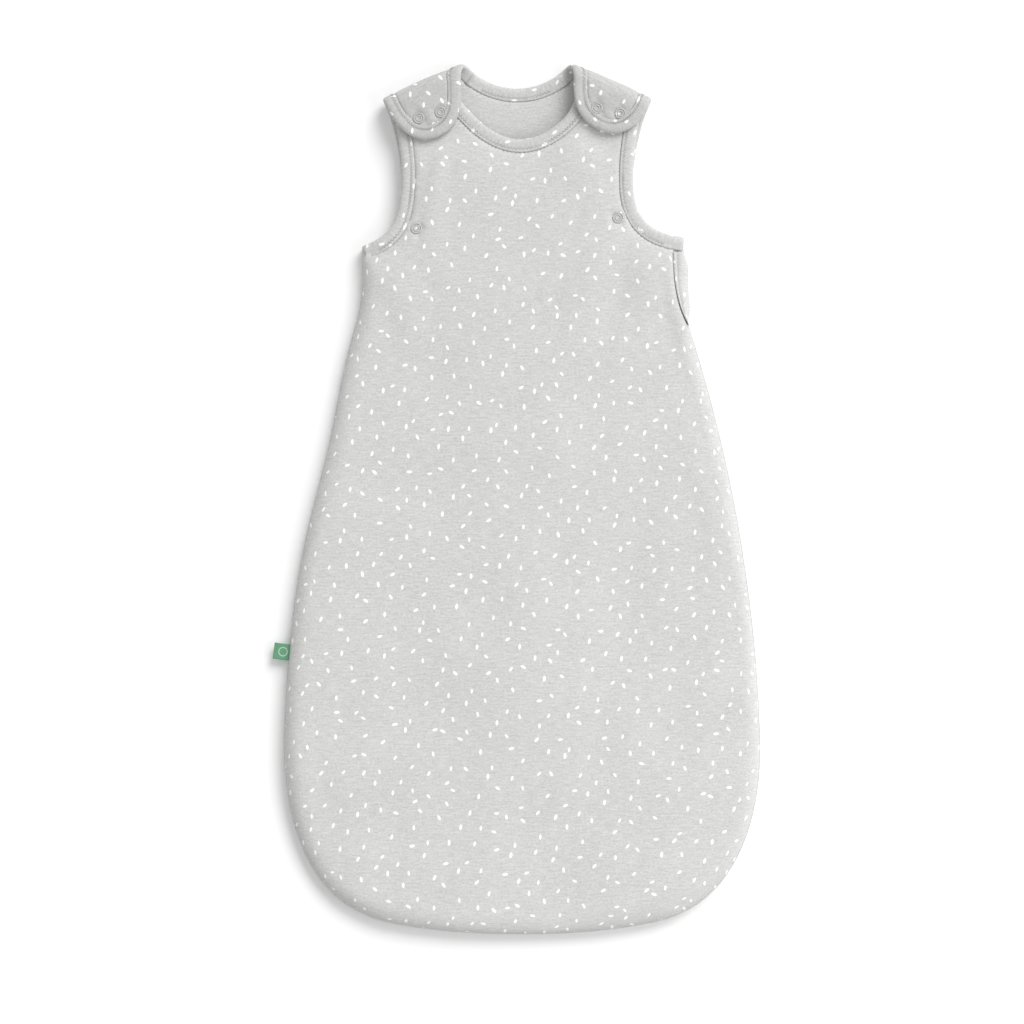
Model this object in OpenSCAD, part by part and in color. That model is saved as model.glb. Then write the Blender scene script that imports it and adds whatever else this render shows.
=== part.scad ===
// Sleeveless baby sleeping bag with a side zip, laid flat on its back. Units are millimetres.
// X runs across the bag, +Y runs towards the neck and +Z is up, away from the surface it lies on.

/* [Piece to draw] */

// "all", or the name of one piece

/* [Bag outline] */

// Half the distance from shoulder fold to hem
half_length = 350; // [300:1:450]
// Half the width at the widest place
widest_half = 193; // [150:1:240]
// Height of the widest place, measured from the middle
widest_y = -228; // [-260:1:-180]
// Radius of the long side seams
side_radius = 1192; // [900:1:1600]
// Where the straight run of the side gives way to the hem corner
corner_start_y = -190; // [-230:1:-150]
// Where the hem corner meets the hem
hem_corner = [105, -341];
// How strongly the corner follows the side, then the hem
corner_pull = [74, 66];
// Left underarm point, where the armhole meets the side seam
left_underarm = [-128, 203];
// Right underarm point, above the zip garage
right_underarm = [131, 210.5];

/* [Neck and armholes] */

// Sideways offset of the neck and shoulders
neck_offset = -3; // [-10:0.5:10]
// Half the width of the neck hole at the shoulders
neck_half = 46.5; // [38:0.5:60]
// Lowest point of the front neck
front_neck_y = 289.5; // [270:0.5:310]
// Lowest point of the back neck
back_neck_y = 331.5; // [315:0.5:345]
// Half the distance between the armholes at the chest
chest_half = 93.5; // [80:0.5:110]
// Height at which the chest is narrowest
chest_y = 248; // [235:1:262]
// Width of the bound edges
binding = 11; // [8:0.5:14]

/* [Shoulder straps] */

// Neck end of a shoulder fold, measured from the middle of the neck
fold_inner = [45, 350];
// Length of a shoulder fold
fold_length = 69.4; // [55:0.2:80]
// Slope of a shoulder fold, in degrees
fold_angle = 23.8; // [15:0.1:30]
// Reach of the left strap from its fold towards the chest
left_strap_reach = 47; // [38:0.5:56]
// Reach of the right strap from its fold towards the chest
right_strap_reach = 41.5; // [38:0.5:56]
// Left strap press studs: distance along the fold, then away from it
left_strap_studs = [[32.2, 29], [49.6, 25.6]];
// Right strap press studs: distance along the fold, then away from it
right_strap_studs = [[31.6, 24.8], [50, 21.6]];

/* [Layers] */

// Thickness of the outer jersey
shell = 0.8; // [0.5:0.1:1.5]
// Thickness of the wadding
wadding = 2.4; // [1.5:0.1:6]
// Thickness of the lining jersey
lining = 0.8; // [0.5:0.1:1.5]
// Room between the front and the back
cavity = 6; // [5:0.5:20]
// Height of a fastened press stud between the front and a strap
stud_gap = 1.6; // [1.4:0.1:2.5]
// Seam allowance, where the wadding and the lining stop short of the edge
seam = 10; // [9:0.5:14]

/* [Zip] */

// Top end of the open side, at the mouth of the zip garage
mouth_y = 140; // [120:1:160]
// Distance of the zip chain from the outline
chain_inset = 6; // [5:0.5:8]
// Thickness of the zip tapes
tape = 0.5; // [0.3:0.1:0.8]
// Thickness of the coil
coil = 2.2; // [1.6:0.1:3]
// Height of one half of the coil
coil_half = 1.95; // [1.5:0.05:2.5]
// Length of the slider along the chain
slider_length = 10; // [8:0.5:13]
// Height of the slider across the chain
slider_height = 7.6; // [7:0.1:9]
// Length of the pull tab
pull_length = 21; // [15:0.5:30]
// Height of the pull tab across the chain
pull_height = 5; // [4:0.1:6]
// How far the garage covers the front panel
garage_cover = 8; // [5:0.5:12]
// How far the garage stands outside the seam
garage_bulge = 3; // [2.6:0.1:5]

/* [Press studs] */

// Outer radius of the prong rings
ring_r = 4.25; // [3.5:0.05:5]
// Radius of the hole in the prong rings
ring_hole = 2.9; // [2.2:0.05:3.4]
// Height of a prong ring above the cloth
ring_height = 0.6; // [0.4:0.1:1]
// Left and right underarm press studs on the body
left_underarm_stud = [-84, 217.5];
right_underarm_stud = [78, 226];

/* [Side label] */

// Centre of the label on the left seam
label_place = [-191.5, -123];
// Length along the bag, and width standing out of the seam
label_size = [18, 13];
// Tilt of the label, in degrees
label_tilt = -7; // [-15:1:15]

/* [Colours] */

grey = [0.80, 0.80, 0.79];
lining_grey = [0.77, 0.77, 0.76];
wadding_white = [0.95, 0.95, 0.94];
binding_grey = [0.75, 0.75, 0.74];
metal_grey = [0.72, 0.72, 0.71];
zip_grey = [0.66, 0.66, 0.65];
label_green = [0.36, 0.60, 0.44];

/* [Hidden] */

$fa = 6;
$fs = 0.3;
steps = 12;
hair = 0.1;
panel = shell + wadding + lining;
front_z = panel + cavity;
front_top = front_z + panel;
strap_z = front_top + stud_gap;
strap_top = strap_z + panel;
roll_floor = 0.2;
roll_z = (strap_top + roll_floor) / 2;
roll_r = (strap_top - roll_floor) / 2;
roll_inner = roll_r - panel;
side_centre = [widest_half - side_radius, widest_y];
mouth_angle = asin((mouth_y - widest_y) / side_radius);
corner_angle = asin((corner_start_y - widest_y) / side_radius);
chain_z = front_top / 2;
prongs = 5;
prong_r = 0.35;
prong_hole = 0.4;
prong_ring = 3.5;

// Curves

function bezier(p, t) =
    pow(1 - t, 3) * p[0] + 3 * pow(1 - t, 2) * t * p[1] + 3 * (1 - t) * t * t * p[2] + t * t * t * p[3];
function curve(p, n = steps) = [for (i = [0:n]) bezier(p, i / n)];
function tail(list) = [for (i = [1:len(list) - 1]) list[i]];
function head(list) = [for (i = [0:len(list) - 2]) list[i]];
function reverse(list) = [for (i = [len(list) - 1:-1:0]) list[i]];
function flip(list) = [for (p = list) [-p.x, p.y]];
function on_arc(r, a) = side_centre + r * [cos(a), sin(a)];
function ahead(list, i) = list[min(i + 1, len(list) - 1)] - list[max(i - 1, 0)];
// Every outline runs clockwise, so the cloth is always on the right-hand side
function inward(list, i) = [ahead(list, i).y, -ahead(list, i).x] / norm(ahead(list, i));
function inset(list, d) = [for (i = [0:len(list) - 1]) list[i] + d * inward(list, i)];
function band(list, outer, inner) = concat(inset(list, outer), reverse(inset(list, inner)));

// Sides from the underarm to the mouth of the garage, down the side and along the hem

mouth = on_arc(side_radius, mouth_angle);
mouth_way = [sin(mouth_angle), -cos(mouth_angle)];
top_pull = 22;
function top_curve(p) = curve([p, p - [0.5, top_pull], mouth - top_pull * mouth_way, mouth]);
side_top = top_curve(right_underarm);
left_side_top = top_curve([-left_underarm.x, left_underarm.y]);
arc_steps = 16;
arc_angles = [for (i = [0:arc_steps]) mouth_angle + (corner_angle - mouth_angle) * i / arc_steps];
side_arc = [for (a = arc_angles) on_arc(side_radius, a)];
corner_start = on_arc(side_radius, corner_angle);
corner_way = [sin(corner_angle), -cos(corner_angle)];
hem_slope = 11;
hem_way = [cos(hem_slope), sin(hem_slope)];
hem_corner_pull = hem_corner + corner_pull.y * hem_way;
corner = curve([corner_start, corner_start + corner_pull.x * corner_way, hem_corner_pull, hem_corner]);
hem_low = [0, -half_length];
hem_pull = 37;
hem = curve([hem_corner, hem_corner - hem_pull * hem_way, hem_low + [hem_pull, 0], hem_low]);
hem_left = reverse(flip(hem));
zip_line = concat(side_top, tail(side_arc), tail(corner), tail(hem), tail(hem_left));
seam_line = reverse(flip(concat(left_side_top, tail(side_arc), tail(corner))));
full_line = concat(zip_line, tail(seam_line));

// Shoulder points are given along the fold and away from it

fold_way = [cos(fold_angle), -sin(fold_angle)];
fold_in = [-sin(fold_angle), -cos(fold_angle)];
function by_fold(u, v) = fold_inner + u * fold_way + v * fold_in;
tab_v = roll_r + 4.5;
tab_round = 6;
tab_inner = by_fold(8, tab_v);
tab_outer = by_fold(66, tab_v);
tab_turn = by_fold(8 + tab_round, tab_v);
neck_top = [neck_half, tab_inner.y - tab_round];
neck_curve = curve([
    [0, front_neck_y],
    [neck_half * 0.37, front_neck_y],
    [neck_half * 0.77, front_neck_y + 13.5],
    [neck_half, front_neck_y + 32]
]);
tab_corner = curve([neck_top, [neck_half, tab_inner.y], tab_inner, tab_turn], 4);
back_neck_end = by_fold(0, roll_r);
back_neck_half = curve([
    [0, back_neck_y],
    [15, back_neck_y],
    [28, back_neck_y + 4.4],
    back_neck_end
]);
back_shoulder = by_fold(fold_length, roll_r);
chest = [chest_half, chest_y];
function arm_end(side) = side > 0
    ? [right_underarm.x - neck_offset, right_underarm.y]
    : [neck_offset - left_underarm.x, left_underarm.y];
function arm_pull(side) = side > 0 ? [-22, 2] : [-23, 9];
function arm_low(side) = curve([chest, chest + [2, -26], arm_end(side) + arm_pull(side), arm_end(side)]);
arm_front = curve([tab_outer, tab_outer - [4.8, 20], chest + [-1.5, 20], chest]);
arm_back = curve([back_shoulder, back_shoulder - [6, 14], chest + [-1.5, 20], chest]);
function front_arm(side) = concat(arm_front, tail(arm_low(side)));
function back_arm(side) = concat(arm_back, tail(arm_low(side)));
function place(list, side) = [for (p = list) [side * p.x + neck_offset, p.y]];
function both(half) = concat(reverse(place(half, -1)), tail(place(half, 1)));
front_neck = both(concat(neck_curve, tab_corner));
back_neck = both(back_neck_half);
right_front_arm = place(front_arm(1), 1);
left_front_arm = reverse(place(front_arm(-1), -1));
right_back_arm = place(back_arm(1), 1);
left_back_arm = reverse(place(back_arm(-1), -1));

// Lines that the bindings follow, run on past the corners of the shoulder tabs and underarms
past_tab = [4.8, 20];
neck_rim = both(concat(neck_curve, [[neck_half, half_length]]));
function past_arm(side) = arm_end(side) - 0.02 * arm_pull(side);
function arm_rim(side) = place(concat([tab_outer + past_tab], front_arm(side), [past_arm(side)]), side);
right_rim = arm_rim(1);
left_rim = reverse(arm_rim(-1));
tab_binding = 3;
tab_rim = [
    by_fold(-fold_length, tab_v - tab_binding),
    by_fold(2 * fold_length, tab_v - tab_binding),
    by_fold(2 * fold_length, tab_v + tab_binding),
    by_fold(-fold_length, tab_v + tab_binding)
];

// Flat shapes

function around(neck, right_arm, left_arm, d) = concat(
    neck, head(right_arm), inset(full_line, d), tail(left_arm));

module front_outline(d = 0) {
    polygon(around(front_neck, right_front_arm, left_front_arm, d));
}

module back_outline(d = 0) {
    polygon(around(back_neck, right_back_arm, left_back_arm, d));
}

module front_neck_flat() {
    intersection() {
        front_outline();
        polygon(band(neck_rim, -1, binding));
    }
}

module tab_band(side) {
    polygon(place(tab_rim, side));
}

module front_arm_flat(line, side) {
    difference() {
        intersection() {
            front_outline();
            union() {
                polygon(band(line, -1, binding));
                tab_band(side);
            }
        }
        polygon(band(neck_rim, -1, binding));
    }
}

module back_neck_flat() {
    intersection() {
        back_outline();
        polygon(band(back_neck, -hair, binding));
    }
}

module back_arm_flat(line) {
    difference() {
        intersection() {
            back_outline();
            polygon(band(line, -hair, binding));
        }
        polygon(band(back_neck, -hair, binding));
    }
}

// Edge of the front panel under the garage: it meets the seam at the mouth
function garage_share(i) = 1 - pow(i / steps, 2);
function garage_edge(extra) = [
    for (i = [0:steps]) side_top[i] + (garage_cover * garage_share(i) + extra) * inward(side_top, i)
];

module garage_room() {
    above = right_underarm + [0, 1];
    below = mouth + mouth_way + [1, 0];
    inner = [above - [garage_cover, 0]];
    polygon(concat([above + [1, 0]], inset(side_top, -1), [below], reverse(garage_edge(hair)), inner));
}

module front_flat(d = 0) {
    difference() {
        front_outline(d);
        polygon(band(neck_rim, -1, binding));
        polygon(band(right_rim, -1, binding));
        polygon(band(left_rim, -1, binding));
        tab_band(-1);
        tab_band(1);
        garage_room();
    }
}

module back_flat(d = 0) {
    difference() {
        back_outline(d);
        polygon(band(back_neck, -1, binding));
        polygon(band(right_back_arm, -1, binding));
        polygon(band(left_back_arm, -1, binding));
    }
}

// The front folds open along a line from the mouth of the garage to the end of the zip
open_start = mouth;
open_end = [-hem_corner.x, hem_corner.y];
open_way = (open_end - open_start) / norm(open_end - open_start);
open_side = [-open_way.y, open_way.x];
far = 900;

module open_part(gap) {
    polygon([
        open_start - far * open_way + gap * open_side,
        open_end + far * open_way + gap * open_side,
        open_end + far * open_way + far * open_side,
        open_start - far * open_way + far * open_side
    ]);
}

module fixed_front(d = 0) {
    difference() {
        front_flat(d);
        open_part(0);
    }
}

module opening_front(d = 0) {
    intersection() {
        front_flat(d);
        open_part(0.3);
    }
}

// Press stud pieces, drawn on the XY plane and placed by the callers

module at_prongs() {
    for (i = [0:prongs - 1])
        rotate([0, 0, i * 360 / prongs + 18])
            translate([prong_ring, 0, 0])
                children();
}

module prong_ring_piece(reach) {
    difference() {
        cylinder(r = ring_r, h = ring_height);
        translate([0, 0, -hair])
            cylinder(r = ring_hole, h = ring_height + 2 * hair);
    }
    at_prongs()
        translate([0, 0, -reach])
            cylinder(r = prong_r, h = reach + hair);
}

socket_height = 0.9;
socket_hole = 2.1;
stud_base = 0.5;
stud_post_r = 1.5;

module socket_piece(height) {
    difference() {
        cylinder(r = ring_r, h = height);
        translate([0, 0, -hair])
            cylinder(r = socket_hole, h = height + 2 * hair);
    }
}

module stud_piece(base) {
    cylinder(r = ring_r, h = base);
    cylinder(r = stud_post_r, h = base + socket_height - 0.1);
}

module prong_cuts(height) {
    at_prongs()
        translate([0, 0, -hair])
            cylinder(r = prong_hole, h = height + 2 * hair);
}

// Shoulder frame: X along the fold, -Y towards the chest

module at_shoulder(side) {
    translate([neck_offset, 0, 0])
        mirror([side < 0 ? 1 : 0, 0, 0])
            translate([fold_inner.x, fold_inner.y, 0])
                rotate([0, 0, -fold_angle])
                    children();
}

module at_strap_studs(side) {
    for (p = side > 0 ? right_strap_studs : left_strap_studs)
        translate([p.x, -p.y, 0])
            children();
}

// Tongue outline in the shoulder frame, from the roll round the tip and back to the roll
tongue_peak = 40;
function tongue(reach) = concat(
    curve([[0, -roll_r], [5, -roll_r - 12], [11, -reach + 1], [tongue_peak, -reach]]),
    tail(curve([
        [tongue_peak, -reach],
        [tongue_peak + 19, -reach],
        [fold_length - 1, -reach + 15],
        [fold_length, -roll_r]
    ]))
);
function side_tongue(side) = tongue(side > 0 ? right_strap_reach : left_strap_reach);
function tongue_rim(side) = concat([[fold_length, 0]], reverse(side_tongue(side)), [[0, 0]]);

module tongue_flat(side) {
    difference() {
        polygon(side_tongue(side));
        polygon(band(tongue_rim(side), -1, binding));
    }
}

module tongue_binding_flat(side) {
    intersection() {
        polygon(side_tongue(side));
        polygon(band(tongue_rim(side), -hair, binding));
    }
}

module strap_layer(side, z, height) {
    at_shoulder(side)
        translate([0, 0, z])
            difference() {
                linear_extrude(height)
                    tongue_flat(side);
                at_strap_studs(side)
                    prong_cuts(height);
            }
}

module shoulder_roll(side) {
    at_shoulder(side)
        rotate([90, 0, 90])
            linear_extrude(fold_length)
                translate([-roll_r, roll_z])
                    difference() {
                        circle(r = roll_r);
                        circle(r = roll_inner);
                        translate([-2 * roll_r, -2 * roll_r])
                            square([2 * roll_r, 4 * roll_r]);
                    }
}

module strap_binding(side) {
    at_shoulder(side)
        translate([0, 0, strap_z])
            difference() {
                linear_extrude(panel)
                    tongue_binding_flat(side);
                at_strap_studs(side)
                    prong_cuts(panel);
            }
}

module strap_rings(side) {
    at_shoulder(side)
        at_strap_studs(side)
            translate([0, 0, strap_top])
                prong_ring_piece(panel);
}

module strap_sockets(side) {
    at_shoulder(side)
        at_strap_studs(side)
            translate([0, 0, strap_z - socket_height])
                socket_piece(socket_height);
}

module front_studs(side) {
    at_shoulder(side)
        at_strap_studs(side)
            translate([0, 0, front_top])
                stud_piece(stud_base);
}

module front_stud_rings(side) {
    at_shoulder(side)
        at_strap_studs(side)
            translate([0, 0, front_z])
                mirror([0, 0, 1])
                    prong_ring_piece(panel);
}

module at_front_prongs(height) {
    for (side = [-1, 1])
        at_shoulder(side)
            at_strap_studs(side)
                prong_cuts(height);
    at_underarm_studs()
        prong_cuts(height);
}

module at_underarm_studs() {
    for (p = [left_underarm_stud, right_underarm_stud])
        translate([p.x, p.y, 0])
            children();
}

// Cloth of the front, on the bag and on the part that opens

module front_layer(z, height, d = 0) {
    translate([0, 0, z])
        difference() {
            linear_extrude(height)
                fixed_front(d);
            at_front_prongs(height);
        }
}

module opening_layer(z, height, d = 0) {
    translate([0, 0, z])
        linear_extrude(height)
            opening_front(d);
}

module back_layer(z, height, d = 0) {
    translate([0, 0, z])
        difference() {
            linear_extrude(height)
                back_flat(d);
            at_underarm_studs()
                prong_cuts(height);
        }
}

module front_shell() {
    color(grey)
        front_layer(front_top - shell, shell);
}

module front_wadding() {
    color(wadding_white)
        front_layer(front_z + lining, wadding, seam);
}

module front_lining() {
    color(lining_grey)
        front_layer(front_z, lining, seam);
}

module flap_shell() {
    color(grey)
        opening_layer(front_top - shell, shell);
}

module flap_wadding() {
    color(wadding_white)
        opening_layer(front_z + lining, wadding, seam);
}

module flap_lining() {
    color(lining_grey)
        opening_layer(front_z, lining, seam);
}

module back_shell() {
    color(grey)
        difference() {
            back_layer(0, shell);
            at_underarm_studs()
                translate([0, 0, -hair])
                    cylinder(r = ring_r + hair, h = ring_height + hair);
        }
}

module back_wadding() {
    color(wadding_white)
        back_layer(shell, wadding, seam);
}

module back_lining() {
    color(lining_grey)
        back_layer(shell + wadding, lining, seam);
}

module left_seam() {
    color(grey)
        difference() {
            translate([0, 0, shell])
                linear_extrude(front_top - 2 * shell)
                    polygon(band(head(seam_line), 0, 1.5));
            label_place_frame()
                cube([label_size.x + 1, label_size.y + 0.2, label_fold + 0.2], center = true);
        }
}

module front_neck_binding() {
    color(binding_grey)
        translate([0, 0, front_z])
            linear_extrude(panel)
                front_neck_flat();
}

module right_front_arm_binding() {
    color(binding_grey)
        translate([0, 0, front_z])
            linear_extrude(panel)
                front_arm_flat(right_rim, 1);
}

module left_front_arm_binding() {
    color(binding_grey)
        translate([0, 0, front_z])
            linear_extrude(panel)
                front_arm_flat(left_rim, -1);
}

module back_neck_binding() {
    color(binding_grey)
        linear_extrude(panel)
            back_neck_flat();
}

module right_back_arm_binding() {
    color(binding_grey)
        linear_extrude(panel)
            back_arm_flat(right_back_arm);
}

module left_back_arm_binding() {
    color(binding_grey)
        linear_extrude(panel)
            back_arm_flat(left_back_arm);
}

// Shoulders

module left_shoulder_roll() {
    color(grey)
        shoulder_roll(-1);
}

module right_shoulder_roll() {
    color(grey)
        shoulder_roll(1);
}

module left_strap_shell() {
    color(grey)
        strap_layer(-1, strap_top - shell, shell);
}

module right_strap_shell() {
    color(grey)
        strap_layer(1, strap_top - shell, shell);
}

module left_strap_wadding() {
    color(wadding_white)
        strap_layer(-1, strap_z + lining, wadding);
}

module right_strap_wadding() {
    color(wadding_white)
        strap_layer(1, strap_z + lining, wadding);
}

module left_strap_lining() {
    color(lining_grey)
        strap_layer(-1, strap_z, lining);
}

module right_strap_lining() {
    color(lining_grey)
        strap_layer(1, strap_z, lining);
}

module left_strap_binding() {
    color(binding_grey)
        strap_binding(-1);
}

module right_strap_binding() {
    color(binding_grey)
        strap_binding(1);
}

module left_strap_rings() {
    color(metal_grey)
        strap_rings(-1);
}

module right_strap_rings() {
    color(metal_grey)
        strap_rings(1);
}

module left_strap_sockets() {
    color(metal_grey)
        strap_sockets(-1);
}

module right_strap_sockets() {
    color(metal_grey)
        strap_sockets(1);
}

module left_front_studs() {
    color(metal_grey)
        front_studs(-1);
}

module right_front_studs() {
    color(metal_grey)
        front_studs(1);
}

module left_front_stud_rings() {
    color(metal_grey)
        front_stud_rings(-1);
}

module right_front_stud_rings() {
    color(metal_grey)
        front_stud_rings(1);
}

// Underarm press studs, unfastened: sockets under the front, studs on the back

module underarm_front_rings() {
    color(metal_grey)
        at_underarm_studs()
            translate([0, 0, front_top])
                prong_ring_piece(panel);
}

module underarm_sockets() {
    color(metal_grey)
        at_underarm_studs()
            translate([0, 0, front_z - socket_height])
                socket_piece(socket_height);
}

module underarm_studs() {
    color(metal_grey)
        at_underarm_studs()
            translate([0, 0, panel])
                stud_piece(stud_base);
}

module underarm_back_rings() {
    color(metal_grey)
        at_underarm_studs()
            translate([0, 0, ring_height])
                mirror([0, 0, 1])
                    prong_ring_piece(panel - ring_height);
}

// Zip

module chain_strip(line, outer, inner, low, high) {
    translate([0, 0, low])
        linear_extrude(high - low)
            polygon(band(line, outer, inner));
}

// The tapes start below the binding of the armhole
tape_line = [for (i = [3:len(zip_line) - 1]) zip_line[i]];
tape_outer = chain_inset - tape / 2;
tape_inner = chain_inset + tape / 2;
coil_outer = chain_inset - coil / 2;
coil_inner = chain_inset + coil / 2;
coil_gap = 0.05;
front_coil_low = chain_z + coil_gap;
front_coil_high = front_coil_low + coil_half;
back_coil_high = chain_z - coil_gap;
back_coil_low = back_coil_high - coil_half;

// The slider is drawn round the middle of its chain, at this angle on the side
slider_r = side_radius - chain_inset;
slider_angle = mouth_angle - 0.28;
slider_span = slider_length / slider_r * 180 / PI;
diamond_length = 2.2;
coil_top_angle = slider_angle + slider_span / 2 - (diamond_length + 0.9) / slider_r * 180 / PI;
stop_angle = slider_angle + slider_span / 2 + 0.06;
stop_length = 2;

coil_angles = [for (i = [0:arc_steps]) coil_top_angle + (corner_angle - coil_top_angle) * i / arc_steps];
below_slider = concat([for (a = coil_angles) on_arc(side_radius, a)], tail(corner), tail(hem), tail(hem_left));

module above_open_line() {
    intersection() {
        children();
        translate([0, 0, -1])
            linear_extrude(front_top + 2)
                difference() {
                    square(2 * far, center = true);
                    open_part(0);
                }
    }
}

module below_open_line() {
    intersection() {
        children();
        translate([0, 0, -1])
            linear_extrude(front_top + 2)
                open_part(0.3);
    }
}

module zip_front_tape_top() {
    color(zip_grey)
        above_open_line()
            chain_strip(tape_line, tape_outer, tape_inner, front_coil_high, front_top - shell);
}

module zip_front_tape() {
    color(zip_grey)
        below_open_line()
            chain_strip(tape_line, tape_outer, tape_inner, front_coil_high, front_top - shell);
}

module zip_back_tape() {
    color(zip_grey)
        chain_strip(tape_line, tape_outer, tape_inner, shell, back_coil_low);
}

module zip_front_coil() {
    color(zip_grey)
        chain_strip(below_slider, coil_outer, coil_inner, front_coil_low, front_coil_high);
}

module zip_back_coil() {
    color(zip_grey)
        chain_strip(below_slider, coil_outer, coil_inner, back_coil_low, back_coil_high);
}

module on_chain(angle) {
    translate([side_centre.x, side_centre.y, chain_z])
        rotate([0, 0, angle])
            translate([slider_r, 0, 0])
                children();
}

module zip_top_stops() {
    color(zip_grey)
        on_chain(stop_angle)
            for (low = [coil_gap, -coil_gap - coil_half])
                translate([-coil / 2, 0, low])
                    cube([coil, stop_length, coil_half]);
}

end_stop_length = 6;

module zip_end_stop() {
    color(zip_grey)
        translate([open_end.x, open_end.y, 0])
            rotate([0, 0, -hem_slope])
                translate([-end_stop_length - 0.2, chain_inset - coil / 2 - 0.4, back_coil_low])
                    cube([end_stop_length, coil + 0.8, front_coil_high - back_coil_low]);
}

// Slider frame: +X out of the bag, +Y along the chain to the underarm

plate = 1;
plate_gap = 2.8;
flange = 1.2;
tape_slot = 1.2;
lug = 0.8;
lug_gap = 2;
pin_r = 0.6;
pin_out = plate_gap / 2 + plate + 1.35;
lug_reach = 2.1;
pin_back = -3.2;

module slider_box(x0, x1, y0, y1, z0, z1) {
    translate([x0, y0, z0])
        cube([x1 - x0, y1 - y0, z1 - z0]);
}

module slider_body() {
    half = slider_length / 2;
    top = slider_height / 2;
    inner = plate_gap / 2;
    slider_box(inner, inner + plate, -half, half, -top, top);
    slider_box(-inner - plate, -inner, -half, half, -top, top);
    for (s = [-1, 1])
        for (z = [-top, top - flange]) {
            x = s > 0 ? tape_slot / 2 : -inner - hair;
            slider_box(x, x + inner + hair - tape_slot / 2, -half, half * 0.4, z, z + flange);
        }
    translate([0, half - diamond_length / 2, 0])
        cube([plate_gap + 2 * hair, diamond_length, 1.6], center = true);
    plate_top = inner + plate;
    for (z = [-lug_gap / 2 - lug, lug_gap / 2])
        slider_box(plate_top - hair, plate_top + lug_reach, pin_back - 1.5, pin_back + 1.5, z, z + lug);
    translate([pin_out, pin_back, -lug_gap / 2 - lug])
        cylinder(r = pin_r, h = lug_gap + 2 * lug);
}

module zip_slider() {
    color(metal_grey)
        on_chain(slider_angle)
            slider_body();
}

eye_r = 1.25;
eye_hole = 0.65;
eye_height = 1.8;
pull_thick = 1.2;
neck_length = 4;

module zip_pull() {
    color(metal_grey)
        on_chain(slider_angle)
            translate([pin_out, pin_back, 0])
                difference() {
                    union() {
                        translate([0, 0, -eye_height / 2])
                            cylinder(r = eye_r, h = eye_height);
                        translate([-pull_thick / 2, -neck_length, -eye_height / 2])
                            cube([pull_thick, neck_length, eye_height]);
                        rotate([90, 0, 90])
                            linear_extrude(pull_thick, center = true)
                                pull_flat();
                    }
                    translate([0, 0, -eye_height])
                        cylinder(r = eye_hole, h = 2 * eye_height);
                }
}

module pull_flat() {
    end_r = pull_height / 2;
    difference() {
        union() {
            translate([-pull_length + end_r, -end_r])
                square([pull_length - end_r - 2.4, pull_height]);
            translate([-pull_length + end_r, 0])
                circle(r = end_r);
        }
        translate([-pull_length + end_r, 0])
            circle(r = 1.1);
    }
}

module zip_garage() {
    color(grey) {
        chain_strip(side_top, -garage_bulge, shell - garage_bulge, 0, front_top);
        translate([0, 0, front_top - shell])
            linear_extrude(shell)
                difference() {
                    polygon(concat(inset(side_top, -garage_bulge), reverse(garage_edge(-hair))));
                    polygon(band(right_rim, -1, binding + hair));
                }
        chain_strip(side_top, -garage_bulge, -0.2, 0, shell);
    }
}

// Label, a folded loop caught in the left seam

label_fold = 1.6;
label_slot = 0.5;

module label_place_frame() {
    translate([label_place.x, label_place.y, chain_z])
        rotate([0, 0, label_tilt])
            children();
}

module side_label() {
    color(label_green)
        label_place_frame()
            difference() {
                cube([label_size.x, label_size.y, label_fold], center = true);
                translate([1, 0, 0])
                    cube([label_size.x, label_size.y + 1, label_slot], center = true);
            }
}

front_shell();
front_wadding();
front_lining();
flap_shell();
flap_wadding();
flap_lining();
back_shell();
back_wadding();
back_lining();
left_seam();
front_neck_binding();
back_neck_binding();
left_front_arm_binding();
right_front_arm_binding();
left_back_arm_binding();
right_back_arm_binding();
left_shoulder_roll();
right_shoulder_roll();
left_strap_shell();
right_strap_shell();
left_strap_wadding();
right_strap_wadding();
left_strap_lining();
right_strap_lining();
left_strap_binding();
right_strap_binding();
left_strap_rings();
right_strap_rings();
left_strap_sockets();
right_strap_sockets();
left_front_studs();
right_front_studs();
left_front_stud_rings();
right_front_stud_rings();
underarm_front_rings();
underarm_sockets();
underarm_studs();
underarm_back_rings();
zip_front_tape_top();
zip_front_tape();
zip_back_tape();
zip_front_coil();
zip_back_coil();
zip_top_stops();
zip_end_stop();
zip_slider();
zip_pull();
zip_garage();
side_label();
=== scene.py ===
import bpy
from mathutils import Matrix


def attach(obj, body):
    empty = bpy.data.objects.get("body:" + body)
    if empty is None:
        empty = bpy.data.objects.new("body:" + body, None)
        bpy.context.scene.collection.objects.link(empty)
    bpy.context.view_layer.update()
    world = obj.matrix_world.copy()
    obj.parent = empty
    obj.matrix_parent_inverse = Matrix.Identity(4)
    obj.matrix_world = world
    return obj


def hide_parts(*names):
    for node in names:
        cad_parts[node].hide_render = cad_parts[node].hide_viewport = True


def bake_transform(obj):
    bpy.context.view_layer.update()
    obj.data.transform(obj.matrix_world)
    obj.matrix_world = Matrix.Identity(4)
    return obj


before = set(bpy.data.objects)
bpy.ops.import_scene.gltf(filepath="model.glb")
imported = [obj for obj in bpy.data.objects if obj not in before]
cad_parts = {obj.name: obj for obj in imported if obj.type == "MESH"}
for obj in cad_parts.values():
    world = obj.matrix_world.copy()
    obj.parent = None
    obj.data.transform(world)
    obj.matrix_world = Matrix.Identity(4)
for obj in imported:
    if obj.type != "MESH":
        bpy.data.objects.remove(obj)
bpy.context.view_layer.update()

import math

import bmesh
import bpy
import numpy as np
from mathutils import Vector, geometry

MM = 0.001

# ---------------------------------------- outlines, in mm
# These are the CAD part's own lines, with a few small moves towards the photo's.

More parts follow.
